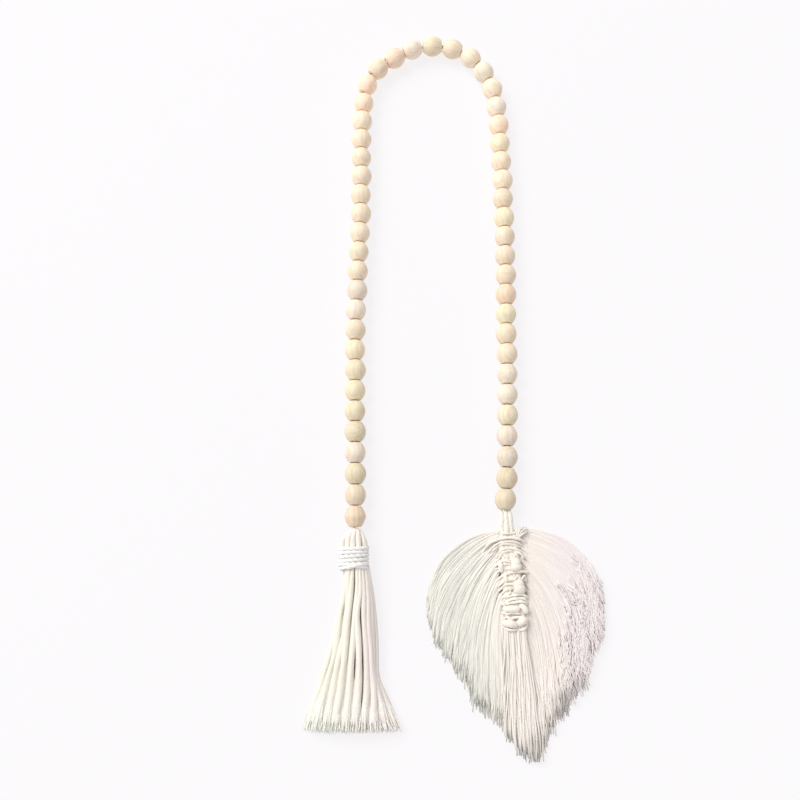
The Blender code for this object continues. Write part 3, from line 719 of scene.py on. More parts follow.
def skirt_cords(rng):
    """Centre lines and radii of the cords of the skirt, layer by layer."""
    cords = []
    swing = drift(rng, *SWING_CELLS)
    front = len(SKIRT_LAYERS)
    for layer, count in enumerate((*SKIRT_LAYERS, len(FRONT_CORDS))):
        for cord in range(count):
            across = (cord + 0.5 + rng.uniform(-CORD_JITTER, CORD_JITTER)) / count
            cut = SKIRT_SECTIONS[-1][0] - rng.uniform(0.0, SKIRT_RAGGED)
            below = np.linspace(SKIRT_SECTIONS[0][0], cut, SKIRT_RINGS)
            share = (below - below[0]) / (below[-1] - below[0])
            left, right, height = (read_table(SKIRT_SECTIONS, below, i) for i in (1, 2, 3))
            radius = read_table(SKIRT_RADII, below, 1) * rng.uniform(*CORD_THICKNESS)
            if layer < front:
                radius = radius * swell(share, *COVERED_CORDS)
            lean = across + SWING[0] * ease(share * SWING[1]) * swing(
                np.full_like(share, across), share)
            waver = WAVER[0] * np.sin(WAVER[1] * share + ANY_PHASE * rng.random()) * share
            lean = np.clip(lean + waver, 0.0, 1.0)
            x = left + radius + (right - left - 2 * radius) * lean
            lift = 0.0
            if layer == front - 1:
                x = part_cord(x, below, radius)
            elif layer == front:
                x = front_line(FRONT_CORDS[cord], below) + FRONT_WAVER[0] * np.sin(
                    FRONT_WAVER[1] * share + ANY_PHASE * rng.random())
                lean = np.clip((x - left) / (right - left), 0.0, 1.0)
                lift = MM * FRONT_LIFTS[cord] * ease(share * FRONT_LIFT_SOON)
            rounding = 1.0 - SKIRT_CROWN * (2 * lean - 1) ** 2
            z = (radius + (height * rounding - 2 * radius) * mix(*LAYER_LEVELS[layer], share)
                 + lift)
            cords.append((np.stack([TASSEL_TOP[0] + x, TASSEL_TOP[1] - below,
                                    np.maximum(z, radius + 2 * CLEARANCE)], axis=1), radius))
    return as_arrays(cords)


def round_place(rng, number, count):
    """The angle at which one of the yarns lies round its cord."""
    return 2 * math.pi * (number + rng.uniform(-YARN_JITTER, YARN_JITTER)) / count


def frayed_ends(rng, paths, radii):
    """Loose yarns over the last stretch of each cord, round its surface and past its end."""
    yarns = []
    along = np.linspace(0.0, 1.0, FRAY_RINGS)
    for path, radius in zip(paths, radii):
        step = np.linalg.norm(np.diff(path, axis=0), axis=1).mean()
        first = len(path) - 1 - round(FRAY_LENGTH / step) * rng.uniform(*FRAY_LENGTHS)
        at = np.linspace(first, len(path) - 1, FRAY_RINGS)
        core = np.stack([np.interp(at, np.arange(len(path)), path[:, axis])
                         for axis in range(3)], axis=1)
        thick = np.interp(at, np.arange(len(path)), radius)
        for yarn in range(FRAY_YARNS):
            angle = round_place(rng, yarn, FRAY_YARNS)
            inner = 1.0 - rise(along, *FRAY_BEND) * FRAY_INWARD[yarn % len(FRAY_INWARD)]
            loose = along ** FRAY_POWER * rng.uniform(*FRAY_LOOSENESS)
            turn = angle + FRAY_TURN * along * rng.uniform(-1.0, 1.0)
            place = core.copy()
            for axis, start, spread, reach in zip((0, 2), FRAY_RING, FRAY_SPREAD,
                                                  (np.cos(turn), np.sin(turn))):
                place[:, axis] += inner * thick * (start + spread * loose) * reach
            place[:, 2] = np.maximum(place[:, 2], FRAY_RADIUS + CLEARANCE)
            place[:, 1] -= along * rng.uniform(*FRAY_RAGGED)
            size = (FRAY_RADIUS * rng.uniform(*FRAY_THICKNESS)
                    * np.where(along < 1.0, 1.0, FRAY_THIN_END) * swell(along, *FRAY_THIN_START))
            yarns.append((place, size))
    return as_arrays(yarns)


def loose_fibres(rng, ends, outward, spread, lengths):
    """Fine fibres that stand out of yarn ends, each with its own direction and curl."""
    along = np.linspace(0.0, 1.0, FIBRE_RINGS)[None, :, None]
    count = len(ends)
    sideways = np.stack([-outward[:, 1], outward[:, 0], np.zeros(count)], axis=1)
    lean = np.clip(rng.normal(0.0, spread, (count, 1)), -FIBRE_LEAN_LIMIT, FIBRE_LEAN_LIMIT)
    curl = rng.normal(0.0, FIBRE_CURL * spread, (count, 1))
    length = rng.uniform(*lengths, (count, 1))
    straight = (outward + sideways * lean) * length
    bent = sideways * curl * length
    paths = ends[:, None] + straight[:, None] * along + bent[:, None] * along ** 2
    paths[..., 2] = np.maximum(paths[..., 2] - FIBRE_DROOP * along[..., 0],
                               FIBRE_RADIUS + CLEARANCE / 2)
    return paths, FIBRE_RADIUS * np.linspace(1.0, FIBRE_THIN_END, FIBRE_RINGS)


tassel_rng = np.random.default_rng(seed=5)
tassel_cotton = make_cotton("tassel_cotton", roughness=0.95, sheen=0.25, contrast=0.10,
                            relief=0.00012)
of_tassel = (tassel_cotton, "tassel_cotton", "tassel")
add_yarn("tassel_crown", [crown_folds(tassel_rng)], *of_tassel)
skirt_paths, skirt_radii = skirt_cords(tassel_rng)
core_rings = SKIRT_RINGS - FRAY_CORE
core_radii = skirt_radii[:, :core_rings].copy()
core_radii[:, -len(CORE_END):] *= CORE_END
add_yarn("tassel_cords",
         [tube(skirt_paths[:, :core_rings], core_radii, CORD_SIDES,
               cord_tints(tassel_rng, skirt_paths), lobes=CORD_PLIES, groove=CORD_GROOVE,
               lay=CORD_LAY)], *of_tassel)
fray_paths, fray_radii = frayed_ends(tassel_rng, skirt_paths, skirt_radii)
add_yarn("tassel_frayed_ends",
         [tube(fray_paths, fray_radii, FRAY_SIDES,
               FRAY_TINT * cord_tints(tassel_rng, fray_paths))], *of_tassel)
picked = tassel_rng.choice(len(fray_paths), TASSEL_FIBRES, replace=False)
fibre_paths, fibre_radii = loose_fibres(
    tassel_rng, fray_paths[picked, -2], unit(fray_paths[picked, -1] - fray_paths[picked, -3]),
    TASSEL_FIBRE_LEAN, TASSEL_FIBRE_LENGTHS)
add_yarn("tassel_loose_fibres",
         [tube(fibre_paths, fibre_radii, FIBRE_SIDES,
               tints(tassel_rng, TASSEL_FIBRES, CORD_CREAM))], *of_tassel)

# ================================================================= tassel binding
# A separate length of three-ply cotton string, wound five times round the neck and pulled
# tight. Its ends cross over in front, in the last two turns, and are tucked in behind.
WRAP_TOP = 0.0121
WRAP_TURNS = 5
WRAP_PITCH = 0.00262
WRAP_SHIFT = -0.0012
WRAP_CORD_RADIUS = 0.00150
WRAP_CORD_SIDES = 18
WRAP_HALF_WIDTH = 0.0097    # of the string's centre line
WRAP_HALF_HEIGHT = 0.0069
WRAP_POINTS_PER_TURN = 72
WRAP_PLIES = {"lobes": 3, "groove": 0.26, "lay": 0.0115}
WRAP_WAVER = 0.0003
WRAP_WAVER_CELLS = 26
WRAP_ASKEW = 0.00025        # how much lower one side of the turns is than the other
WRAP_TUCK = 0.22            # how far the first and the last stretch go in under the turns
WRAP_TUCKED = 0.25          # their length, in turns
CROSSING = 0.0271           # below the bead, where the two ends cross
CROSSING_POINTS = 60
CROSSING_SPAN = (-0.25, 1.25)  # in half turns from the right, over the front
CROSSING_FRONT = (0.02, 0.98)  # the part of it that isn't tucked in
CROSSING_TUCK = 0.20
CROSSING_TUCKED = 0.7       # radians, over which they go in
CROSSING_SLOPES = (0.0014, -0.0016)
CROSSING_RISE = 0.0010      # of the upper end over the lower one
CROSSING_SHIFT = 0.0006
CROSSING_INSET = (0.0004, 0.0003)  # how much closer they lie than the turns, and how much lower
CROSSING_THICKNESS = 0.96   # drawn tight, as a share of the string's
CROSSING_WAVER_CELLS = 9


def wrap_path(rng):
    """The wound centre line, a little uneven from turn to turn."""
    count = WRAP_TURNS * WRAP_POINTS_PER_TURN
    turn = np.linspace(0.0, WRAP_TURNS, count)
    angle = 2 * math.pi * turn - math.pi / 2
    uneven = drift(rng, WRAP_WAVER_CELLS, 1)(turn / WRAP_TURNS, np.zeros(count))
    below = (WRAP_TOP + WRAP_CORD_RADIUS + turn * WRAP_PITCH
             + WRAP_WAVER * uneven + WRAP_ASKEW * np.sin(angle))
    tuck = 1.0 - WRAP_TUCK * (ease(1 - turn / WRAP_TUCKED)
                              + rise(turn, WRAP_TURNS - WRAP_TUCKED, WRAP_TUCKED))
    return np.stack([TASSEL_TOP[0] + WRAP_SHIFT + WRAP_HALF_WIDTH * tuck * np.cos(angle),
                     TASSEL_TOP[1] - below,
                     TASSEL_AXIS_HEIGHT + WRAP_HALF_HEIGHT * tuck * np.sin(angle)], axis=1)


def crossing_paths(rng):
    """The two ends, from one side to the other over the front."""
    angle = np.linspace(*CROSSING_SPAN, CROSSING_POINTS) * math.pi
    across = np.cos(angle)
    first, last = (share * math.pi for share in CROSSING_FRONT)
    tuck = 1.0 - CROSSING_TUCK * (ease((first - angle) / CROSSING_TUCKED)
                                  + ease((angle - last) / CROSSING_TUCKED))
    half_width = WRAP_HALF_WIDTH - CROSSING_INSET[0]
    paths = []
    for order, slope in enumerate(CROSSING_SLOPES):
        uneven = drift(rng, CROSSING_WAVER_CELLS, 1)(np.linspace(0, 1, CROSSING_POINTS),
                                                     np.zeros(CROSSING_POINTS))
        below = CROSSING + slope * across + WRAP_WAVER * uneven
        raised = order * CROSSING_RISE * (1.0 - across ** 2)
        half_height = WRAP_HALF_HEIGHT - CROSSING_INSET[1] + raised
        paths.append(np.stack([
            TASSEL_TOP[0] + WRAP_SHIFT + CROSSING_SHIFT + half_width * tuck * across,
            TASSEL_TOP[1] - below,
            TASSEL_AXIS_HEIGHT + half_height * tuck * np.sin(angle)], axis=1))
    return np.array(paths)


wrap_rng = np.random.default_rng(seed=8)
binding_cotton = make_cotton("binding_cotton", roughness=0.92, sheen=0.2, contrast=0.12,
                             relief=0.0001)
add_yarn("tassel_binding",
         [tube(wrap_path(wrap_rng)[None], WRAP_CORD_RADIUS, WRAP_CORD_SIDES, COTTON_WHITE,
               **WRAP_PLIES),
          tube(crossing_paths(wrap_rng), CROSSING_THICKNESS * WRAP_CORD_RADIUS,
               WRAP_CORD_SIDES, COTTON_WHITE, **WRAP_PLIES)],
         binding_cotton, "binding_cotton", "tassel_wrap")

# ================================================================= leaf: neck and knotted spine
# Soft three-ply cotton cord. Core cords hang from the last bead, and in each row two folded
# cords are reef-knotted round them: their legs cross the front as bars, and one fold comes
# over them as a broad bump, mostly on the right. Tied by hand, so no two rows match.
LEAF_LEAN = 5.0             # degrees that the leaf's axis leans
LEAF_DROP = 0.0006          # below the face of the last bead
LEAF_CREAM = (0.89, 0.85, 0.785)
KNOT_TINT = (1.035, 1.01, 0.985)
KNOT_CORD_STEP = 0.0006
KNOT_CORD_SIDES = 14
KNOT_CORD_LAY = 0.016
THIN_CORD = 0.0015          # radius under which a cord is twisted harder
KNOT_GROOVES = (0.14, 0.05)  # between the plies of such a cord, and of a thicker one
KNOT_UNEVENNESS = 0.10      # of a cord's thickness
KNOT_UNEVEN_CELLS = 12
KNOT_SWELL_SOON = 1.5       # how soon a cord reaches its last thickness
KNOT_TURN = 6.28            # radians, the most that its plies are turned at its start
FOLD_ENDS = (1.02, 5)       # how a flat fold's ends are rounded off
# the next values are in millimetres of the leaf's own frame
CORE_CORDS = ((-4.3, -5.4), (-1.4, -2.4), (1.5, 0.6), (4.3, 3.5))  # lateral, top and foot
CORE_RADIUS = 2.6
CORE_HEIGHT = 6.9
CORE_TOP = 17.0
CORE_LENGTH = 62.0
CORE_POINTS = 8
HAND_TIED = 0.26            # how far a cord strays from its places
# radius at the first and the last place, flatness, and the places (lateral, below the bead,
# height) along each cord
SPINE_CORDS = (
    # neck
    (2.1, 2.1, 0.98, ((-2.6, -0.9, 7.6), (-3.2, 5.0, 7.7), (-3.5, 12.0, 7.2), (-3.0, 21.0, 6.4))),
    (2.1, 2.1, 0.98, ((0.2, -0.9, 8.4), (0.0, 5.0, 8.3), (-0.2, 12.0, 7.7), (0.0, 21.0, 6.6))),
    (2.0, 2.0, 0.98, ((2.9, -0.9, 7.6), (3.5, 5.0, 7.6), (3.1, 12.0, 7.3), (3.2, 21.0, 6.4))),
    # a thin cord across the foot of the neck
    (0.8, 0.8, 1.0, ((-4.5, 14.1, 7.6), (-2.7, 15.7, 9.8), (0.2, 16.4, 10.4), (3.1, 16.3, 9.9),
                    (5.7, 15.5, 7.8))),
    # arches of the first rows, which run on into the fringe on the left
    (0.8, 1.25, 1.0, ((-22.8, 32.9, 4.1), (-19.3, 28.1, 6.1), (-15.8, 24.0, 8.6),
                    (-12.0, 21.2, 9.2), (-7.8, 19.6, 9.6), (-3.3, 19.0, 10.0), (2.4, 19.3, 10.2),
                    (6.8, 20.5, 9.6), (10.6, 22.3, 8.0), (14.9, 24.2, 4.3))),
    (0.7, 1.0, 1.0, ((-20.5, 35.1, 4.1), (-17.1, 30.8, 6.1), (-13.8, 26.8, 8.6),
                    (-10.0, 23.6, 9.0), (-6.1, 21.8, 9.4), (-1.0, 21.4, 9.9), (3.7, 22.0, 9.9),
                    (8.1, 23.7, 8.8), (11.7, 26.3, 4.7))),
    (0.7, 0.8, 1.0, ((-15.0, 30.6, 5.1), (-10.9, 26.5, 8.2), (-7.2, 24.1, 9.1), (-3.6, 23.1, 9.7),
                    (0.7, 23.3, 9.9), (5.1, 24.3, 9.4), (8.4, 26.1, 7.0))),
    (0.7, 0.85, 1.0, ((-13.5, 34.8, 4.9), (-10.2, 31.0, 6.5), (-7.0, 28.1, 9.0),
                    (-2.8, 26.5, 9.7), (1.6, 26.3, 10.0), (5.1, 27.4, 9.6), (7.8, 29.3, 7.6))),
    (0.7, 0.75, 1.0, ((-12.3, 34.9, 5.1), (-9.4, 32.1, 6.5), (-6.4, 29.6, 9.0), (-2.3, 28.0, 9.7),
                    (1.5, 28.1, 9.8), (3.9, 29.2, 8.8))),
    (0.7, 0.8, 1.0, ((-15.8, 39.0, 4.3), (-12.7, 35.5, 5.9), (-9.1, 32.8, 8.3), (-5.7, 30.7, 9.1),
                    (-2.3, 29.6, 9.4))),
    # a small curl and a bump side by side
    (0.85, 0.8, 1.0, ((-3.5, 29.6, 8.6), (-3.0, 32.2, 10.2), (-1.1, 34.3, 10.8),
                    (1.7, 33.8, 10.8), (3.1, 31.9, 10.4), (1.7, 30.1, 9.4))),
    (0.9, 0.95, 1.0, ((4.1, 29.7, 8.6), (6.4, 29.8, 10.3), (8.3, 31.7, 10.5), (8.5, 33.9, 9.4))),
    # the first broad fold and the legs that it holds
    (3.3, 3.7, 0.66, ((4.1, 33.3, 8.6), (3.7, 35.3, 10.8), (3.5, 37.7, 11.5), (3.3, 39.9, 10.8),
                    (3.4, 41.7, 8.6))),
    (0.8, 1.05, 1.0, ((-17.0, 44.2, 3.9), (-13.7, 40.4, 5.5), (-10.1, 36.5, 8.3),
                    (-6.4, 34.4, 9.2), (-2.4, 34.3, 9.8), (0.7, 35.5, 9.2))),
    (0.7, 0.75, 1.0, ((-17.9, 47.5, 3.7), (-14.8, 43.6, 5.5), (-11.3, 40.4, 7.8),
                    (-7.4, 38.6, 8.4), (-3.3, 36.6, 9.8), (0.4, 37.2, 9.2))),
    (0.8, 1.0, 1.0, ((-15.6, 49.0, 3.7), (-12.3, 45.5, 5.5), (-9.1, 41.8, 8.2), (-5.4, 40.3, 9.3),
                    (-1.8, 40.3, 9.8), (1.1, 41.5, 9.0))),
    (1.9, 2.1, 0.8, ((-7.9, 33.9, 8.4), (-7.7, 36.6, 9.9), (-7.4, 39.6, 9.9), (-7.2, 42.2, 8.4))),
    (1.3, 1.4, 0.85, ((-5.9, 43.2, 8.6), (-4.5, 46.2, 10.2), (-3.3, 49.2, 9.6))),
    # a bar, then a thin cord's small curls over a second one
    (0.8, 1.1, 1.0, ((-14.0, 51.9, 3.7), (-10.7, 48.3, 5.5), (-7.2, 44.9, 8.5), (-3.4, 43.4, 9.6),
                    (1.0, 42.8, 10.2), (5.4, 42.8, 10.3), (10.3, 43.8, 9.0), (13.7, 45.7, 4.3))),
    (0.9, 1.1, 1.0, ((-10.0, 49.5, 4.9), (-6.3, 47.0, 8.2), (-1.8, 46.5, 9.3), (3.7, 47.2, 9.7),
                    (9.2, 48.2, 8.2))),
    (0.7, 0.7, 1.0, ((-0.8, 44.1, 8.4), (0.0, 46.5, 10.8), (1.2, 48.1, 10.9), (2.4, 46.5, 11.3),
                    (3.5, 45.1, 11.3), (4.6, 47.0, 11.3), (5.4, 48.8, 11.0), (6.8, 47.1, 10.9),
                    (8.0, 45.7, 10.5), (8.9, 47.8, 9.7), (9.3, 49.4, 8.2))),
    # the second broad fold and its legs
    (3.5, 4.2, 0.6, ((4.3, 48.1, 8.6), (4.0, 50.2, 10.8), (3.8, 52.6, 11.4), (3.5, 55.1, 10.8),
                    (3.4, 57.2, 8.6))),
    (0.8, 0.95, 1.0, ((-15.6, 58.3, 3.5), (-12.5, 54.2, 5.1), (-9.3, 50.5, 8.0),
                    (-6.0, 48.2, 9.2), (-2.0, 47.5, 9.8), (1.1, 48.5, 9.2))),
    (0.8, 0.95, 1.0, ((-14.8, 60.2, 3.5), (-11.9, 56.4, 5.1), (-8.3, 52.7, 8.2),
                    (-4.8, 50.9, 9.4), (-1.3, 50.6, 9.8), (1.3, 51.4, 9.0))),
    (0.8, 0.95, 1.0, ((-12.7, 62.2, 3.5), (-10.0, 58.7, 5.1), (-7.0, 55.3, 8.4),
                    (-3.8, 53.6, 9.6), (0.2, 53.6, 9.2))),
    (0.8, 0.95, 1.0, ((-10.9, 63.6, 3.5), (-8.5, 60.7, 6.6), (-5.5, 57.6, 8.8), (-2.4, 56.3, 9.6),
                    (1.3, 56.4, 9.2))),
    (0.75, 0.75, 1.0, ((-5.6, 54.3, 8.6), (-4.6, 53.3, 10.5), (-3.0, 53.9, 10.9),
                    (-2.6, 55.7, 10.7), (-3.9, 57.1, 10.5), (-5.4, 57.6, 8.8))),
    (1.1, 1.1, 0.85, ((-8.5, 59.0, 8.2), (-6.9, 58.8, 9.9), (-5.4, 59.6, 9.4))),
    (1.2, 1.2, 0.85, ((-9.4, 62.6, 7.6), (-8.0, 63.6, 9.4), (-7.0, 65.0, 9.4))),
    (1.1, 1.2, 0.85, ((-9.7, 68.6, 7.6), (-8.2, 69.4, 9.6), (-6.6, 69.4, 9.8))),
    # soft bars
    (0.9, 1.2, 1.0, ((-10.3, 65.8, 3.5), (-8.3, 62.7, 6.8), (-6.0, 59.8, 9.0), (-2.9, 58.5, 10.0),
                    (1.1, 58.2, 10.4), (5.3, 58.7, 10.3), (8.3, 60.1, 8.8), (10.4, 62.6, 4.3))),
    (0.9, 1.15, 1.0, ((-9.3, 67.4, 3.7), (-7.7, 64.6, 7.2), (-5.3, 61.7, 9.4), (-1.5, 60.6, 10.1),
                    (2.8, 60.6, 10.3), (6.6, 61.4, 9.6), (8.8, 63.5, 6.8))),
    (1.0, 1.1, 1.0, ((-7.9, 65.7, 6.6), (-5.6, 63.8, 8.8), (-1.8, 62.8, 10.0), (2.5, 62.9, 10.3),
                    (6.3, 63.7, 9.6), (8.8, 65.5, 6.6))),
    # a wide row: a broad fold on the left and a smaller one on the right
    (2.2, 2.5, 0.8, ((-8.7, 65.9, 8.0), (-6.6, 66.6, 10.4), (-3.1, 67.5, 11.1), (0.1, 67.9, 10.9),
                    (2.7, 67.8, 9.2))),
    (1.7, 2.1, 0.8, ((2.6, 66.2, 9.0), (4.6, 66.5, 10.8), (6.5, 68.2, 11.1), (6.7, 70.9, 9.4))),
    (1.0, 1.0, 1.0, ((-9.3, 70.8, 5.3), (-6.6, 70.0, 9.4), (-3.3, 69.9, 10.3), (0.4, 70.5, 10.3),
                    (2.7, 71.6, 9.0))),
    # the last knot, drawn tight round the tails
    (1.0, 1.1, 1.0, ((-9.6, 73.5, 5.5), (-7.0, 72.7, 10.2), (-4.3, 73.8, 11.1),
                    (-1.4, 73.3, 11.0), (1.4, 72.8, 10.8), (4.5, 73.5, 10.4), (7.0, 75.5, 7.8))),
    (2.3, 2.9, 0.8, ((-9.4, 75.4, 8.0), (-7.3, 76.3, 10.7), (-4.8, 77.0, 11.4),
                    (-2.4, 77.6, 10.8), (-0.9, 78.1, 8.2))),
    (3.2, 2.7, 0.8, ((0.3, 78.3, 8.2), (1.9, 77.2, 11.0), (4.2, 76.4, 11.2), (6.8, 75.4, 8.2))),
    (1.0, 1.0, 1.0, ((-9.4, 78.7, 5.9), (-6.9, 80.4, 10.3), (-3.8, 81.2, 10.8),
                    (-0.6, 81.1, 9.4))),
    (1.1, 1.0, 1.0, ((-0.4, 81.2, 9.2), (2.4, 81.8, 10.2), (5.2, 80.2, 9.9), (6.6, 77.4, 8.2))),
)

LEAF_TOP = string_ends[1] + bead_bores[-1] * LEAF_DROP
leaf_turn = np.array(Matrix.Rotation(math.radians(LEAF_LEAN), 3, "Z"))


def on_leaf(lateral, below, height):
    """Places in the leaf's own frame, as world coordinates."""
    local = np.stack(np.broadcast_arrays(lateral, -np.asarray(below), height), axis=-1)
    return local @ leaf_turn.T + np.array((LEAF_TOP[0], LEAF_TOP[1], 0.0))


def soft_cord(rng, points, radii, flat):
    """One soft cord through a few (lateral, below, height) points of the leaf."""
    path = smooth_path(on_leaf(*np.transpose(points) * MM), KNOT_CORD_STEP)
    first, last = np.multiply(radii, MM)
    along = np.linspace(0.0, 1.0, len(path))
    uneven = drift(rng, KNOT_UNEVEN_CELLS, 1)(along, np.zeros(len(path)))
    radius = swell(along, first, last - first, KNOT_SWELL_SOON) * (
        1.0 + KNOT_UNEVENNESS * uneven)
    if flat < 1.0:
        radius = radius * np.sqrt(FOLD_ENDS[0] - np.abs(2 * along - 1) ** FOLD_ENDS[1])
    dye = tints(rng, 1, np.multiply(LEAF_CREAM, KNOT_TINT))
    return tube(path[None], radius[None], KNOT_CORD_SIDES, dye, lobes=3,
                groove=KNOT_GROOVES[0 if max(first, last) < THIN_CORD else 1],
                lay=KNOT_CORD_LAY, flat=flat,
                turn=rng.uniform(0, KNOT_TURN) if flat == 1.0 else 0)


def knotted_spine(rng):
    """The core cords, the neck and the rows of knots."""
    cords = []
    share = np.linspace(0.0, 1.0, CORE_POINTS)
    for top, foot in CORE_CORDS:
        places = np.stack([top + (foot - top) * share, CORE_TOP + CORE_LENGTH * share,
                           np.full(CORE_POINTS, CORE_HEIGHT)], axis=1)
        cords.append(soft_cord(rng, places, (CORE_RADIUS, CORE_RADIUS), 1.0))
    for first, last, flat, places in SPINE_CORDS:
        strayed = np.array(places) + rng.normal(0.0, HAND_TIED, (len(places), 3))
        cords.append(soft_cord(rng, strayed, (first, last), flat))
    return cords


spine_rng = np.random.default_rng(seed=31)
leaf_cotton = make_cotton("leaf_cotton", roughness=0.95, sheen=0.25, contrast=0.10,
                          relief=0.00012)
of_leaf = (leaf_cotton, "leaf_cotton", "leaf")
add_yarn("leaf_knots", knotted_spine(spine_rng), *of_leaf)

# ================================================================= leaf: combed fringe
# The cords' free ends, unlaid and combed out on both sides of the spine, then trimmed with
# scissors to a leaf. Each cord opens into a lock of fine yarns: the locks lie over each other
# like feathers, leave the knots outward, turn down and end in an uneven, frayed edge.
ROOT_TOP = 0.0140           # below the bead, where the first yarns start
ROOT_SPAN = 0.0660          # from there to the last ones
# the fringe's upper edge: the start, the two guide points and the end of its curve
SHOULDER = np.array(((0.0140, 0.0050), (0.0118, 0.0240), (0.0260, 0.0560), (0.0620, 0.0600)))
ROOT_POWER = {-1: 1.8, 1: 2.3}  # how the yarns' starts crowd towards the top of the spine
# below, left edge and right edge of the knots, where the yarns start
ROOT_EDGES = ((0.014, -0.0050, 0.0052), (0.050, -0.0048, 0.0066), (0.066, -0.0070, 0.0062),
              (0.080, -0.0062, 0.0040))
# below, and degrees under the horizontal at which a yarn leaves the knots there
LEAVE_ANGLES = ((0.0140, -6.6), (0.0155, 14.0), (0.0190, 31.0), (0.0260, 41.0),
                (0.0470, 48.0), (0.0640, 72.0), (0.0800, 84.0))
# shares of a line's span that it goes straight out of the knots and straight up to its cut
# end, for the upper and for the lower lines
LEAVE_SHARES = (0.33, 0.20)
ARRIVE_SHARES = {-1: (0.40, 0.50), 1: (0.58, 0.58)}
SHOULDER_SOON = 3           # how soon the lines leave the shape of the upper edge
LOWER_LINES = (0.3, 0.35)   # where the lower lines start, and over what share they set in
ROOT_CLOSING = 7            # how soon the last starts close in under the spine
ROOT_CLOSED = 0.05          # and the share of their width that is left there
# distance along the leaf's axis and half width, from the widest place to the tip
OUTLINES = {
    -1: ((0.062, 0.0598), (0.074, 0.0598), (0.086, 0.0580), (0.097, 0.0530), (0.103, 0.0462),
         (0.113, 0.0450), (0.118, 0.0372), (0.130, 0.0360), (0.138, 0.0300), (0.146, 0.0196),
         (0.154, 0.0150), (0.160, 0.0100), (0.1675, 0.0070), (0.1700, 0.0)),
    1: ((0.062, 0.0602), (0.074, 0.0602), (0.087, 0.0582), (0.100, 0.0545), (0.112, 0.0460),
        (0.122, 0.0436), (0.130, 0.0375), (0.137, 0.0290), (0.146, 0.0250), (0.153, 0.0160),
        (0.160, 0.0105), (0.1675, 0.0085), (0.1715, 0.0)),
}
# tints of the fringe from left to right, and where each is reached; the left one is also darker, a
# painted shade on the side nearer the light
FRINGE_TINTS_AND_SHADE = ((0.888, 0.915, 0.902), (1.020, 0.990, 1.000), (1.026, 0.985, 0.995),
                (1.000, 0.963, 1.033))
TINT_PLACES = (-0.035, 0.0, 0.020, 0.038)
FRINGE_ROOT_HEIGHT = 0.0092
FRINGE_TIP_HEIGHT = 0.0046
FRINGE_LAYERS = 3
FRINGE_RINGS = (22, 24, 28)  # along a yarn, from the lowest layer to the top one
FRINGE_SIDES = (5, 6, 6)
LAYER_SHORTER = 0.010       # how much shorter a layer is than the one under it
LEVEL_IN_LAYER = 0.25
LEVEL_JITTER = 0.12
HIGHEST_LEVEL = 1.15
LOCKS = 26                  # locks along one side in one layer
LOCK_JITTER = 0.2
LOCK_SHORTER = 0.024        # how much shorter a lock may be, as a share of its length
LOCK_SHORTER_CELLS = (34, 1)
LOCK_WIDTH = 0.62           # of the distance between locks
LOCK_SPREAD = (0.9, 0.3, 1.4)  # a lock's width at its start, what it gains, and how soon
LOCK_GATHER = (0.1, 0.8)    # what it loses at its cut end
LOCK_YARNS = 10
LOCK_YARN_JITTER = 0.35
YARN_RADIUS = 0.00070
YARN_THICKNESS = (0.8, 1.2)
YARN_START = (0.85, 0.15, 3)  # thickness at its start, what it gains, and how soon
YARN_TAPER = 0.5            # how much thinner a yarn ends
INNER_YARN = 0.35           # every third yarn lies this close to its cord's middle
WANDER = (0.012, (10, 3))   # how far neighbouring locks wander together, and over which cells
RIPPLE = (0.0045, (46, 6))
LOCK_WAVES = 0.02           # how much more a lock waves up and down than its hump is high
LIFT_CELLS = (30, 6)
RAGGED_CUT = 0.018
MISSED_YARNS = (0.05, 0.03)  # share that the scissors missed, and how much longer they are
OPENING = {-1: 0.40, 1: 0.20}  # share of its length over which a cord opens into its yarns
OPENING_SPREAD = (0.8, 1.3)
BUNDLE = {-1: 0.00105, 1: 0.0004}  # radius of a cord before it opens
BUNDLE_LEAST = 0.0003
BUNDLE_TWIST = 1.5          # radians that it turns from its start to its end
BUNDLE_WIDTH = 0.15         # how wide the unopened lock is, as a share of the open one
HUMP = {-1: 0.30, 1: 0.12}  # how much a lock's middle stands over its edges
TIP_SINK = 0.25             # how far the cut ends may sink
ROOT_DIP = {-1: 0.0055, 1: 0.0012}  # how much lower the yarns start, beside the knots
DIP_REACH = {-1: (0.0026, 0.0046), 1: (0.0, 0.0080)}  # how far out they begin and end to rise
DIP_LENGTH = (0.10, 0.06)   # along a yarn, where they have risen at the latest
DIP_BELOW = (0.03, 0.6)     # and how slowly and how late the dip sets in below the neck
CRIMP = {-1: 0.0004, 1: 0.0010}  # sideways reach of the crimps near the ends
CRIMP_UPWARD = 0.8          # and their height, as a share of that
CRIMP_WAVES = (2.5, 5.0)
SPLAY = {-1: 0.0008, 1: 0.0015}  # how far the cut ends spread to either side
FLARE = {-1: 0.0003, 1: 0.0020}  # how far they bend outward
FLARE_INWARD = 0.7          # how far they bend inward before that, as a share of it
LOWER_FLARE = (0.55, 0.3)   # from which lock on they bend less, and how soon
LOWER_FLARE_LESS = 0.8      # and how much less
SPLAY_MIX = 13              # so that a lock's yarns bend one way or the other
FLARE_MIX = 29
# where along a yarn these set in, and over what share of it
GATHER_FROM = (0.7, 0.3)
TAPER_FROM = (0.88, 0.12)
SINK_FROM = (0.8, 0.2)
CRIMP_FROM = (0.55, 0.4)
SPLAY_FROM = (0.86, 0.14)
FLARE_FROM = (0.84, 0.16)
INWARD_FROM = (0.45, 0.40)
# the next two set in the painted shade towards the cut ends
PAINTED_SHADE_FROM = (0.70, 0.12)
CUT_END_SHADE_FROM = (0.80, 0.18)
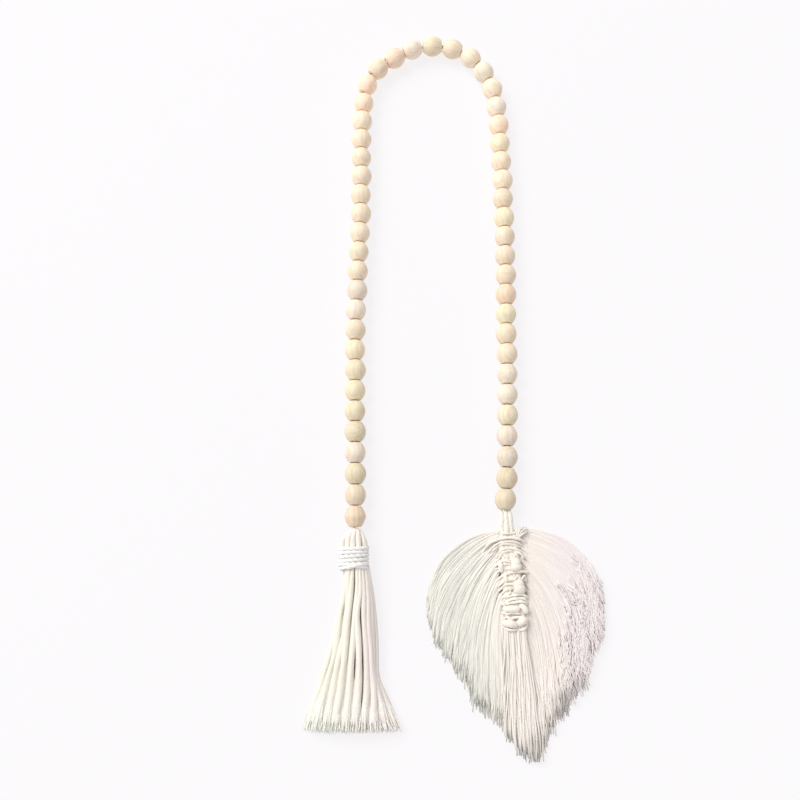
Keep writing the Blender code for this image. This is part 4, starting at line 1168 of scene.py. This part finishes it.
# the places where the painted shade on the cut ends is strongest: lateral, below, and how strong
PAINTED_SHADE_PLACES = np.array((
    (-0.052, 0.089, 0.5), (-0.040, 0.113, 0.3), (-0.031, 0.129, 0.8), (-0.025, 0.122, 0.3),
    (-0.0145, 0.155, 1.1), (-0.006, 0.164, 1.6), (0.001, 0.166, 1.7), (0.003, 0.156, 1.7),
    (0.008, 0.154, 1.3), (0.0165, 0.146, 1.1), (0.0235, 0.139, 1.4), (0.0250, 0.130, 1.7),
    (0.0300, 0.127, 1.4), (0.0370, 0.121, 0.9), (0.046, 0.103, 0.4)))
PAINTED_SHADE_REACH = 0.0058
TIP_PAINTED_SHADE = 0.28            # painted shade: how much darker the locks' ends are where it is strongest
CUT_END_PAINTED_SHADE = 0.08             # painted shade on every cut end
PAINTED_SHADE_SPREAD = (0.4, 1.0)


def outline_ends(side, shares):
    """Places on the trimmed outline by their share of its length, as (below, sideways)."""
    rows = np.array(OUTLINES[side])
    travelled = travelled_along(rows)
    at = np.clip(shares, 0.0, 1.0) * travelled[-1]
    return np.stack([np.interp(at, travelled, rows[:, axis]) for axis in (0, 1)], axis=-1)


def fringe_lines(side, shares, along):
    """Lateral place and distance below of lines of the fringe, each with its own share."""
    share = np.minimum(np.abs(shares), 1.0)
    below = ROOT_TOP + ROOT_SPAN * share ** ROOT_POWER[side]
    edges = np.array(ROOT_EDGES)
    middle = np.interp(below, edges[:, 0], edges[:, 1:].mean(axis=1))
    edge = np.interp(below, edges[:, 0], edges[:, 1 if side < 0 else 2])
    edge = middle + (edge - middle) * np.clip((1.0 - share) * ROOT_CLOSING, ROOT_CLOSED, 1.0)
    root = np.stack([below, side * edge], axis=-1)
    end = outline_ends(side, share)
    angle = np.radians(np.interp(below, *np.array(LEAVE_ANGLES).T))
    span = np.linalg.norm(end - root, axis=-1)
    early, late = ease(share * SHOULDER_SOON), rise(share, *LOWER_LINES)
    edge_leave = np.linalg.norm(SHOULDER[1] - SHOULDER[0])
    edge_arrive = np.linalg.norm(SHOULDER[3] - SHOULDER[2])
    leave = edge_leave + (span * mix(*LEAVE_SHARES, late) - edge_leave) * early
    arrive = edge_arrive + (span * mix(*ARRIVE_SHARES[side], late) - edge_arrive) * early
    outward = math.radians(-side * LEAF_LEAN) * early
    one = root + leave[..., None] * np.stack([np.sin(angle), np.cos(angle)], axis=-1)
    two = end - arrive[..., None] * np.stack([np.cos(outward), np.sin(outward)], axis=-1)
    t, back = along[..., None], 1.0 - along[..., None]
    place = (root * back ** 3 + one * 3 * back ** 2 * t + two * 3 * back * t ** 2 + end * t ** 3)
    return side * place[..., 1], place[..., 0]


def painted_shade_at(lateral, below):
    """How strong the painted shade on the cotton is at places of the leaf."""
    apart = np.hypot(np.asarray(lateral)[..., None] - PAINTED_SHADE_PLACES[:, 0],
                     np.asarray(below)[..., None] - PAINTED_SHADE_PLACES[:, 1])
    return np.max(PAINTED_SHADE_PLACES[:, 2] * np.exp(-(apart / PAINTED_SHADE_REACH) ** 2), axis=-1)


def fringe_surface(travelled):
    """How high the fringe stands, from the knots to its cut."""
    return FRINGE_ROOT_HEIGHT + (FRINGE_TIP_HEIGHT - FRINGE_ROOT_HEIGHT) * travelled


def headings(lateral, below):
    """The directions in which a line of the leaf runs."""
    return unit(np.stack([np.gradient(lateral), np.gradient(below)], axis=-1))


def beside(lateral, below, heading, step):
    """A line of the leaf moved to its side, by its own step at each place."""
    return lateral - heading[:, 1] * step, below + heading[:, 0] * step


def fringe_yarns(rng, side, layer):
    """Paths, radii, sideways places and shades of one layer's yarns, lock by lock."""
    wander, ripple, lift, lengths = (
        drift(rng, *cells) for cells in (WANDER[1], RIPPLE[1], LIFT_CELLS, LOCK_SHORTER_CELLS))
    along = np.linspace(0.0, 1.0, FRINGE_RINGS[layer])
    yarns = []
    top_layer = layer == FRINGE_LAYERS - 1
    for lock in range(LOCKS):
        middle = (lock + 0.5 + rng.uniform(-LOCK_JITTER, LOCK_JITTER)) / LOCKS
        reach = 1.0 - LAYER_SHORTER * layer - LOCK_SHORTER * (
            1 + lengths(np.array(middle), np.array(0.0)))
        gather = rng.uniform(*LOCK_GATHER)
        pitch = ROOT_SPAN * ROOT_POWER[side] * middle ** (ROOT_POWER[side] - 1) / LOCKS
        bundle = min(BUNDLE[side], max(BUNDLE_LEAST, 0.5 * pitch)) if top_layer else 0.0
        opened = ease(along / (OPENING[side] * rng.uniform(*OPENING_SPREAD)))
        spread = swell(along, *LOCK_SPREAD) - gather * rise(along, *GATHER_FROM)
        if top_layer:
            spread = spread * (BUNDLE_WIDTH + (1.0 - BUNDLE_WIDTH) * opened)
        for yarn in range(LOCK_YARNS):
            # the line that it follows, and the length to which it is cut
            offset = (yarn + 0.5 + rng.uniform(-LOCK_YARN_JITTER, LOCK_YARN_JITTER)
                      ) / LOCK_YARNS * 2 - 1
            own = middle + offset * spread * LOCK_WIDTH / LOCKS
            own = own + along * (WANDER[0] * wander(own, along) + RIPPLE[0] * ripple(own, along))
            cut = reach - abs(rng.normal(0.0, RAGGED_CUT)) + (
                MISSED_YARNS[1] if rng.random() < MISSED_YARNS[0] else 0.0)
            travelled = along * cut
            lateral, below = fringe_lines(side, own, travelled)
            # its place in the cord, as long as that is closed
            turn = round_place(rng, yarn, LOCK_YARNS) + BUNDLE_TWIST * along
            tight = bundle * (1.0 - opened) * (1.0 if yarn % 3 else INNER_YARN)
            heading = headings(lateral, below)
            lateral, below = beside(lateral, below, heading, tight * np.cos(turn))
            radius = YARN_RADIUS * rng.uniform(*YARN_THICKNESS) * swell(along, *YARN_START)
            radius = radius * (1.0 - YARN_TAPER * rise(along, *TAPER_FROM))
            # its height in the layers, with a dip beside the knots
            level = (layer + LEVEL_IN_LAYER + HUMP[side] * (1.0 - offset ** 2)
                     + (HUMP[side] + LOCK_WAVES) * lift(own, along)
                     + rng.uniform(-LEVEL_JITTER, LEVEL_JITTER)) / FRINGE_LAYERS
            height = radius + np.maximum(CLEARANCE, (fringe_surface(travelled) - 2 * radius)
                                         * np.clip(level, 0, HIGHEST_LEVEL))
            height = height * (1 - TIP_SINK * rise(along, *SINK_FROM) * rng.random())
            height = height + tight * np.sin(turn)
            out, far_out = DIP_REACH[side]
            risen = np.maximum(rise(np.abs(lateral - lateral[0]), out, far_out - out),
                               rise(along, *DIP_LENGTH))
            height = height - ROOT_DIP[side] * (1.0 - risen) * ease(
                below / DIP_BELOW[0] - DIP_BELOW[1])
            height = np.maximum(height, radius + CLEARANCE)
            # the crimps, and the way in which its end bends outward and splays
            crimp = CRIMP[side] * rise(along, *CRIMP_FROM) * np.sin(
                2 * math.pi * (rng.uniform(*CRIMP_WAVES) * along + rng.random()))
            splay = SPLAY[side] * math.sin(SPLAY_MIX * turn[0]) * rise(along, *SPLAY_FROM)
            flare = side * FLARE[side] * (1.0 + math.sin(FLARE_MIX * turn[0])) * (
                1.0 - LOWER_FLARE_LESS * rise(middle, *LOWER_FLARE))
            lateral = lateral + flare * (rise(along, *FLARE_FROM)
                                         - FLARE_INWARD * rise(along, *INWARD_FROM))
            lateral = lateral + (crimp + splay) * heading[:, 1]
            below = below - splay * heading[:, 0]
            height = np.maximum(height + CRIMP_UPWARD * crimp, radius + CLEARANCE)
            # painted shade: darker towards the cut end and at the places where the shade is
            # strongest
            end_shade = (CUT_END_PAINTED_SHADE * rise(along, *CUT_END_SHADE_FROM)
                     + painted_shade_at(lateral, below) * rise(along, *PAINTED_SHADE_FROM))
            yarns.append((on_leaf(lateral, below, height), radius, lateral,
                          1.0 - TIP_PAINTED_SHADE * end_shade * rng.uniform(*PAINTED_SHADE_SPREAD)))
    return as_arrays(yarns)


def side_tints_and_shade(rng, places, shades):
    """The yarns' colours: greener to the left and darker there as painted shade, cream in the
    middle and pinker to the right, times their painted shades.
    """
    tint = np.stack([np.interp(places, TINT_PLACES, values)
                     for values in np.transpose(FRINGE_TINTS_AND_SHADE)], axis=-1)
    return tints(rng, len(places), LEAF_CREAM)[:, None] * tint * shades[..., None]


def leaf_tubes(rng, yarns, sides):
    """Tubes for yarns of the leaf, in the tints and painted shade of their places."""
    paths, radii, places, shades = yarns
    return tube(paths, radii, sides, side_tints_and_shade(rng, places, shades))


fringe_rng = np.random.default_rng(seed=9)
all_ends = []
for side, side_name in ((-1, "left"), (1, "right")):
    for layer in range(FRINGE_LAYERS):
        layer_yarns = fringe_yarns(fringe_rng, side, layer)
        yarn_paths = layer_yarns[0]
        all_ends.extend(zip(yarn_paths[:, -2], unit(yarn_paths[:, -1] - yarn_paths[:, -3])))
        add_yarn(f"leaf_fringe_{side_name}_{layer + 1}",
                 [leaf_tubes(fringe_rng, layer_yarns, FRINGE_SIDES[layer])], *of_leaf)

# ================================================================= leaf: tails
# The core cords come out below the last knot. They hang over the middle of the fringe, combed
# open towards the leaf's tip and trimmed with it.
TAIL_YARNS = 16
TAIL_RINGS = 36
TAIL_SIDES = 6
# start and end in millimetres (lateral, below)
TAILS = (((-6.9, 77.0), (-11.0, 155.5)), ((-3.5, 77.0), (-5.5, 165.0)),
         ((-0.1, 77.0), (-0.3, 171.5)), ((3.4, 77.0), (4.0, 169.0)))
TAIL_WIDTHS = (0.0017, 0.0050)  # half the bundle's width at its start and at its end
TAIL_DEPTHS = (0.0017, 0.0010)  # and half its depth
TAIL_HEIGHT = 0.0078
TAIL_SLOPE = 0.0036         # how much lower it ends
TAIL_OPENING = (0.08, 0.5)  # where it starts to open, and over what share of its length
TAIL_REACH = (0.96, 1.0)
TAIL_RAGGED = 0.02
TAIL_TWIST = 0.8            # radians that it turns from its start to its end
TAIL_SWAY = 0.0009          # of a whole tail
TAIL_SWAY_CELLS = 6
TAIL_WAVER = (0.0007, 7)    # of one yarn, and the radians of its waves
TAIL_WAVER_MIX = 3          # so that a tail's yarns waver one way or the other
TAIL_THICKNESS = (0.75, 1.1)
TAIL_TAPER_FROM = (0.9, 0.1)
TAIL_SHADE = 0.32           # painted shade: how much darker their ends are
TAIL_SHADE_FROM = (0.87, 0.12)
TAIL_PAINTED_SHADE = 0.8             # painted shade on them at the shaded places, as a share of that on the fringe
TAIL_DARKEST = 0.55
TAIL_SHADE_SPREAD = (0.3, 1.0)


def tail_yarns(rng):
    """Paths, radii, sideways places and shades of the yarns of the tails."""
    along = np.linspace(0.0, 1.0, TAIL_RINGS)
    opened = rise(along, *TAIL_OPENING)
    yarns = []
    for start, end in TAILS:
        sway = drift(rng, 1, TAIL_SWAY_CELLS)
        reach = rng.uniform(*TAIL_REACH)
        for yarn in range(TAIL_YARNS):
            turn = round_place(rng, yarn, TAIL_YARNS)
            inner = 1.0 if yarn % 3 else INNER_YARN
            travelled = along * (reach - abs(rng.normal(0.0, TAIL_RAGGED)))
            lateral, below = ((first + (last - first) * travelled) * MM
                              for first, last in zip(start, end))
            own = inner * np.cos(turn + TAIL_TWIST * travelled)
            lateral = lateral + own * mix(*TAIL_WIDTHS, opened)
            lateral = lateral + TAIL_SWAY * sway(np.full_like(along, 0.5), along) * along
            lateral = lateral + TAIL_WAVER[0] * np.sin(
                TAIL_WAVER[1] * along + turn * TAIL_WAVER_MIX) * opened
            height = (TAIL_HEIGHT - TAIL_SLOPE * ease(travelled)
                      + inner * np.sin(turn) * mix(*TAIL_DEPTHS, opened))
            radius = YARN_RADIUS * rng.uniform(*TAIL_THICKNESS) * (
                1.0 - YARN_TAPER * rise(along, *TAIL_TAPER_FROM))
            # painted shade on the tail's end and at the places where the shade is strongest
            end_shade = (TAIL_SHADE * rise(along, *TAIL_SHADE_FROM)
                     + TAIL_PAINTED_SHADE * TIP_PAINTED_SHADE * painted_shade_at(lateral, below))
            yarns.append((on_leaf(lateral, below, height), radius, lateral,
                          1.0 - np.minimum(end_shade, TAIL_DARKEST) * rng.uniform(*TAIL_SHADE_SPREAD)))
    return as_arrays(yarns)


add_yarn("leaf_tails", [leaf_tubes(fringe_rng, tail_yarns(fringe_rng), TAIL_SIDES)], *of_leaf)

# ================================================================= leaf: curls, tuft, loose fibres
# A few locks on the right were never combed straight, and lie on top in curls and crimps. The
# ends of one cord are cut short in a tuft beside the neck, and single fibres stand out of the
# trimmed edge.
CURL_YARNS = 10
CURL_RINGS = 60
CURL_SIDES = 6
# places along each curl in millimetres (lateral, below)
CURLS = (
    ((27, 48), (33, 55), (36, 61), (38, 66), (43, 67), (46, 63), (51, 62), (53, 67)),
    ((34, 52), (43, 60), (49, 68), (48, 75), (44, 80), (46, 88), (45, 95)),
    ((32, 62), (36, 70), (36, 78), (40, 85), (41, 92), (46, 99)),
)
CURL_STEP = 0.0012
CURL_WIDTH = 0.0023
CURL_TWIST = 3.0            # radians that a curl turns over along its length
CURL_TWIST_SPREAD = (-0.6, 0.6)
CURL_WAVER = (0.0004, 9)    # of one yarn, and the radians of its waves
CURL_RADIUS = 0.00035
CURL_THICKNESS = (0.8, 1.1)
CURL_TAPER = (6, 5.5)       # so that it thins out to half over the last stretch
CURL_HEIGHT = 0.0060
CURL_RIPPLE = (0.0005, 5, 2.0)  # its waves up and down, in radians along it and yarn by yarn
CURL_SINKS = (0.0026, 0.0030)  # how far its start and its end go down into the fringe
CURL_SINK_UNTIL = 0.18      # where along it the start has risen
CURL_SINK_FROM = (0.7, 0.3)  # where the end sets in, and over what share of it
CRIMPED_LOCKS = 25          # on the lower right, over the fringe
CRIMPED_SHARES = (0.13, 0.68)  # along the outline
CRIMPED_JITTER = (0.1, 0.9)  # of a lock's place, between its neighbours
CRIMPED_STARTS = (0.50, 0.74)  # along the fringe's lines
CRIMPED_ENDS = (0.95, 1.01)
CRIMPED_SHORTER = (0.92, 1.0)
CRIMPED_YARNS = 8
CRIMPED_RINGS = 44
CRIMPED_SIDES = 5
CRIMPED_WIDTH = 0.011       # half of a lock's, along the outline
CRIMPED_WIDTHS = (0.7, 1.2)
CRIMPED_NARROWING = 0.5     # how much narrower it ends
CRIMPED_RADIUS = 0.00035
CRIMPED_THICKNESS = (0.8, 1.15)
CRIMPED_TAPER = 0.4         # how much thinner its yarns end
CRIMPED_WAVES = (3.0, 5.5)
CRIMPED_WAVES_SOON = 4      # how soon they are at their full reach
CRIMPED_REACH = 0.0006
CRIMPED_SPREAD = 0.5        # radians by which its yarns' crimps differ
CRIMPED_FLARE = 1.2         # as a share of the fringe's
CRIMPED_MIX = (5, 3)        # so that it differs yarn by yarn and lock by lock
CRIMPED_INWARD = (0.5, 1.5)  # how far they bend inward before they flare, and how soon
CRIMPED_END_FROM = (0.75, 0.25)  # where they flare and taper, and over what share
CRIMPED_RISE = 0.0004       # how much they rise from their start
CRIMPED_LEVEL = (0.9, 3)    # the share of that up to the fringe's surface, and how soon
CRIMPED_RIPPLE = 0.0004
CRIMPED_PAINTED_SHADE = 0.22         # painted shade: how much darker they are where it is strongest
TUFT_FOOT = (6.6, 21.0)
TUFT_YARNS = 30
TUFT_RINGS = 8
TUFT_SIDES = 6
TUFT_SIDEWAYS = (-1.2, 8.0)
TUFT_BEND = 1.6             # how late its ends turn sideways
TUFT_UPWARD = (4.5, 9.0)
TUFT_HEIGHT = 0.0078
TUFT_ARCH = (0.0026, 2.4)   # how high it arches, and the radians of the arch
TUFT_ARCHES = (0.3, 1.0)    # from its lowest to its highest yarn
TUFT_RADIUS = 0.00045
TUFT_THICKNESS = (0.8, 1.2)
TUFT_TAPER = 0.4
LEAF_FIBRES = 840           # single fibres that stand out of the fringe's ends
LEAF_FIBRE_LEAN = 0.5
LEAF_FIBRE_LENGTHS = (0.0012, 0.0045)


def curl_yarns(rng):
    """Paths, radii, sideways places and shades of the curled locks."""
    along = np.linspace(0.0, 1.0, CURL_RINGS)
    sink = (CURL_SINKS[0] * ease((CURL_SINK_UNTIL - along) / CURL_SINK_UNTIL)
            + CURL_SINKS[1] * rise(along, *CURL_SINK_FROM))
    yarns = []
    for points in CURLS:
        guide = smooth_path(np.pad(np.array(points) * MM, ((0, 0), (0, 1))), CURL_STEP)
        guide = thinned(guide, CURL_RINGS)
        heading = unit(np.gradient(guide, axis=0))
        for yarn in range(CURL_YARNS):
            step = (CURL_WIDTH * (2 * (yarn + 0.5) / CURL_YARNS - 1)
                    * np.cos(CURL_TWIST * along + rng.uniform(*CURL_TWIST_SPREAD))
                    + CURL_WAVER[0] * np.sin(CURL_WAVER[1] * along + yarn))
            lateral, below = beside(guide[:, 0], guide[:, 1], heading, step)
            height = CURL_HEIGHT - sink + CURL_RIPPLE[0] * np.sin(
                CURL_RIPPLE[1] * along + CURL_RIPPLE[2] * yarn)
            radius = CURL_RADIUS * rng.uniform(*CURL_THICKNESS) * np.minimum(
                CURL_TAPER[0] - CURL_TAPER[1] * along, 1.0)
            yarns.append((on_leaf(lateral, below, height), radius, lateral, np.ones(CURL_RINGS)))
    return as_arrays(yarns)


def crimped_yarns(rng):
    """The same of the crimped locks, which lie along the fringe on the right."""
    yarns = []
    t = np.linspace(0.0, 1.0, CRIMPED_RINGS)
    for lock in range(CRIMPED_LOCKS):
        own = np.interp((lock + rng.uniform(*CRIMPED_JITTER)) / CRIMPED_LOCKS, (0, 1),
                        CRIMPED_SHARES)
        start, stop = rng.uniform(*CRIMPED_STARTS), rng.uniform(*CRIMPED_ENDS)
        waves, phase = rng.uniform(*CRIMPED_WAVES), rng.uniform(0, 2 * math.pi)
        for yarn in range(CRIMPED_YARNS):
            offset = (2 * (yarn + 0.5) / CRIMPED_YARNS - 1) * rng.uniform(*CRIMPED_WIDTHS)
            along = start + (stop - start) * t * rng.uniform(*CRIMPED_SHORTER)
            line = own + offset * CRIMPED_WIDTH * (1 - CRIMPED_NARROWING * t)
            lateral, below = fringe_lines(1, line, along)
            wave = CRIMPED_REACH * ease(CRIMPED_WAVES_SOON * t) * np.sin(
                2 * math.pi * waves * t + phase + CRIMPED_SPREAD * rng.normal())
            lateral, below = beside(lateral, below, headings(lateral, below), wave)
            flare = CRIMPED_FLARE * FLARE[1] * (
                1.0 + math.sin(CRIMPED_MIX[0] * yarn + CRIMPED_MIX[1] * lock))
            ending = rise(t, *CRIMPED_END_FROM)
            lateral = lateral + flare * (ending - CRIMPED_INWARD[0] * ease(CRIMPED_INWARD[1] * t))
            raised = (CRIMPED_RISE * (ease(CRIMPED_LEVEL[1] * t) - CRIMPED_LEVEL[0])
                      + CRIMPED_RIPPLE * np.cos(2 * math.pi * waves * t + phase + yarn))
            radius = CRIMPED_RADIUS * rng.uniform(*CRIMPED_THICKNESS) * (
                1.0 - CRIMPED_TAPER * ending)
            # painted shade, darker at the places where the shade is strongest
            yarns.append((on_leaf(lateral, below, fringe_surface(along) + raised), radius,
                          lateral, 1.0 - CRIMPED_PAINTED_SHADE * painted_shade_at(lateral, below)))
    return as_arrays(yarns)


def tuft_yarns(rng):
    """Paths and radii of the short ends beside the neck."""
    along = np.linspace(0.0, 1.0, TUFT_RINGS)
    yarns = []
    for _ in range(TUFT_YARNS):
        sideways, upward = rng.uniform(*TUFT_SIDEWAYS), rng.uniform(*TUFT_UPWARD)
        lateral = (TUFT_FOOT[0] + sideways * along ** TUFT_BEND) * MM
        below = (TUFT_FOOT[1] - upward * along) * MM
        height = TUFT_HEIGHT + TUFT_ARCH[0] * np.sin(
            TUFT_ARCH[1] * along) * rng.uniform(*TUFT_ARCHES)
        radius = TUFT_RADIUS * rng.uniform(*TUFT_THICKNESS) * (1.0 - TUFT_TAPER * along)
        yarns.append((on_leaf(lateral, below, height), radius))
    return as_arrays(yarns)


curled, crimped = curl_yarns(fringe_rng), crimped_yarns(fringe_rng)
add_yarn("leaf_curls", [leaf_tubes(fringe_rng, curled, CURL_SIDES),
                        leaf_tubes(fringe_rng, crimped, CRIMPED_SIDES)], *of_leaf)
add_yarn("leaf_tuft",
         [tube(*tuft_yarns(fringe_rng), TUFT_SIDES,
               tints(fringe_rng, TUFT_YARNS, LEAF_CREAM))], *of_leaf)
picked = fringe_rng.choice(len(all_ends), LEAF_FIBRES, replace=False)
fibre_paths, fibre_radii = loose_fibres(
    fringe_rng, *np.array(all_ends)[picked].transpose(1, 0, 2), LEAF_FIBRE_LEAN,
    LEAF_FIBRE_LENGTHS)
add_yarn("leaf_loose_fibres",
         [tube(fibre_paths, fibre_radii, FIBRE_SIDES,
               tints(fringe_rng, LEAF_FIBRES, LEAF_CREAM))], *of_leaf)

# ================================================================= floor, light and camera
# A pale, matt tabletop under the garland, one large soft light from the upper left, and the
# camera above it, tipped a little towards the hanging ends.
FLOOR_HALF = 3.0
FLOOR_DROP = 0.0001         # below the garland's lowest points
FLOOR_ROUGHNESS = 0.9
FLOOR_GREY = (0.16, 0.157, 0.16, 1.0)
FLOOR_GLOW = (1.0, 0.985, 1.0, 1.0)
FLOOR_GLOW_STRENGTH = 0.79
LAMP_PLACE = (-2.88, 2.4, 3.68)
LAMP_SIZE = 3.5
LAMP_POWER = 240.0
LAMP_COLOUR = (1.0, 0.985, 0.96)
ROOM_COLOUR = (0.97, 0.98, 1.0, 1.0)
ROOM_STRENGTH = 0.64
AIM = Vector((-0.0386, -0.0213, 0.0077))
CAMERA_DISTANCE = 0.649
CAMERA_TILT = 11.53         # degrees from straight down
CAMERA_LENS = 40.5          # millimetres, on a sensor of this width
CAMERA_SENSOR = 36.0
CAMERA_NEAREST = 0.01

floor_mesh = bpy.data.meshes.new("tabletop")
floor_mesh.from_pydata([(-FLOOR_HALF, -FLOOR_HALF, 0), (FLOOR_HALF, -FLOOR_HALF, 0),
                        (FLOOR_HALF, FLOOR_HALF, 0), (-FLOOR_HALF, FLOOR_HALF, 0)],
                       [], [(0, 1, 2, 3)])
floor_mesh.materials.append(new_material(
    "matt_white", FLOOR_ROUGHNESS, Specular_IOR_Level=0.1, Base_Color=FLOOR_GREY,
    Emission_Color=FLOOR_GLOW, Emission_Strength=FLOOR_GLOW_STRENGTH)[0])
floor = bpy.data.objects.new("tabletop", floor_mesh)
floor.location.z = -FLOOR_DROP
bpy.context.collection.objects.link(floor)

lamp_data = bpy.data.lights.new("key_light", "AREA")
lamp_data.size = LAMP_SIZE
lamp_data.energy = LAMP_POWER
lamp_data.color = LAMP_COLOUR
lamp = bpy.data.objects.new("key_light", lamp_data)
lamp.location = LAMP_PLACE
lamp.rotation_euler = (-Vector(LAMP_PLACE)).to_track_quat("-Z", "Y").to_euler()
bpy.context.collection.objects.link(lamp)
world = bpy.data.worlds.new("studio")
world.use_nodes = True
background = world.node_tree.nodes["Background"]
background.inputs["Color"].default_value = ROOM_COLOUR
background.inputs["Strength"].default_value = ROOM_STRENGTH
bpy.context.scene.world = world

camera_data = bpy.data.cameras.new("camera")
camera_data.lens = CAMERA_LENS
camera_data.sensor_width = CAMERA_SENSOR
camera_data.clip_start = CAMERA_NEAREST
camera = bpy.data.objects.new("camera", camera_data)
tilt = math.radians(CAMERA_TILT)
camera.location = AIM + CAMERA_DISTANCE * Vector((0.0, -math.sin(tilt), math.cos(tilt)))
camera.rotation_euler = (tilt, 0.0, 0.0)
bpy.context.collection.objects.link(camera)
bpy.context.scene.camera = camera
bpy.context.scene.view_settings.view_transform = "Standard"
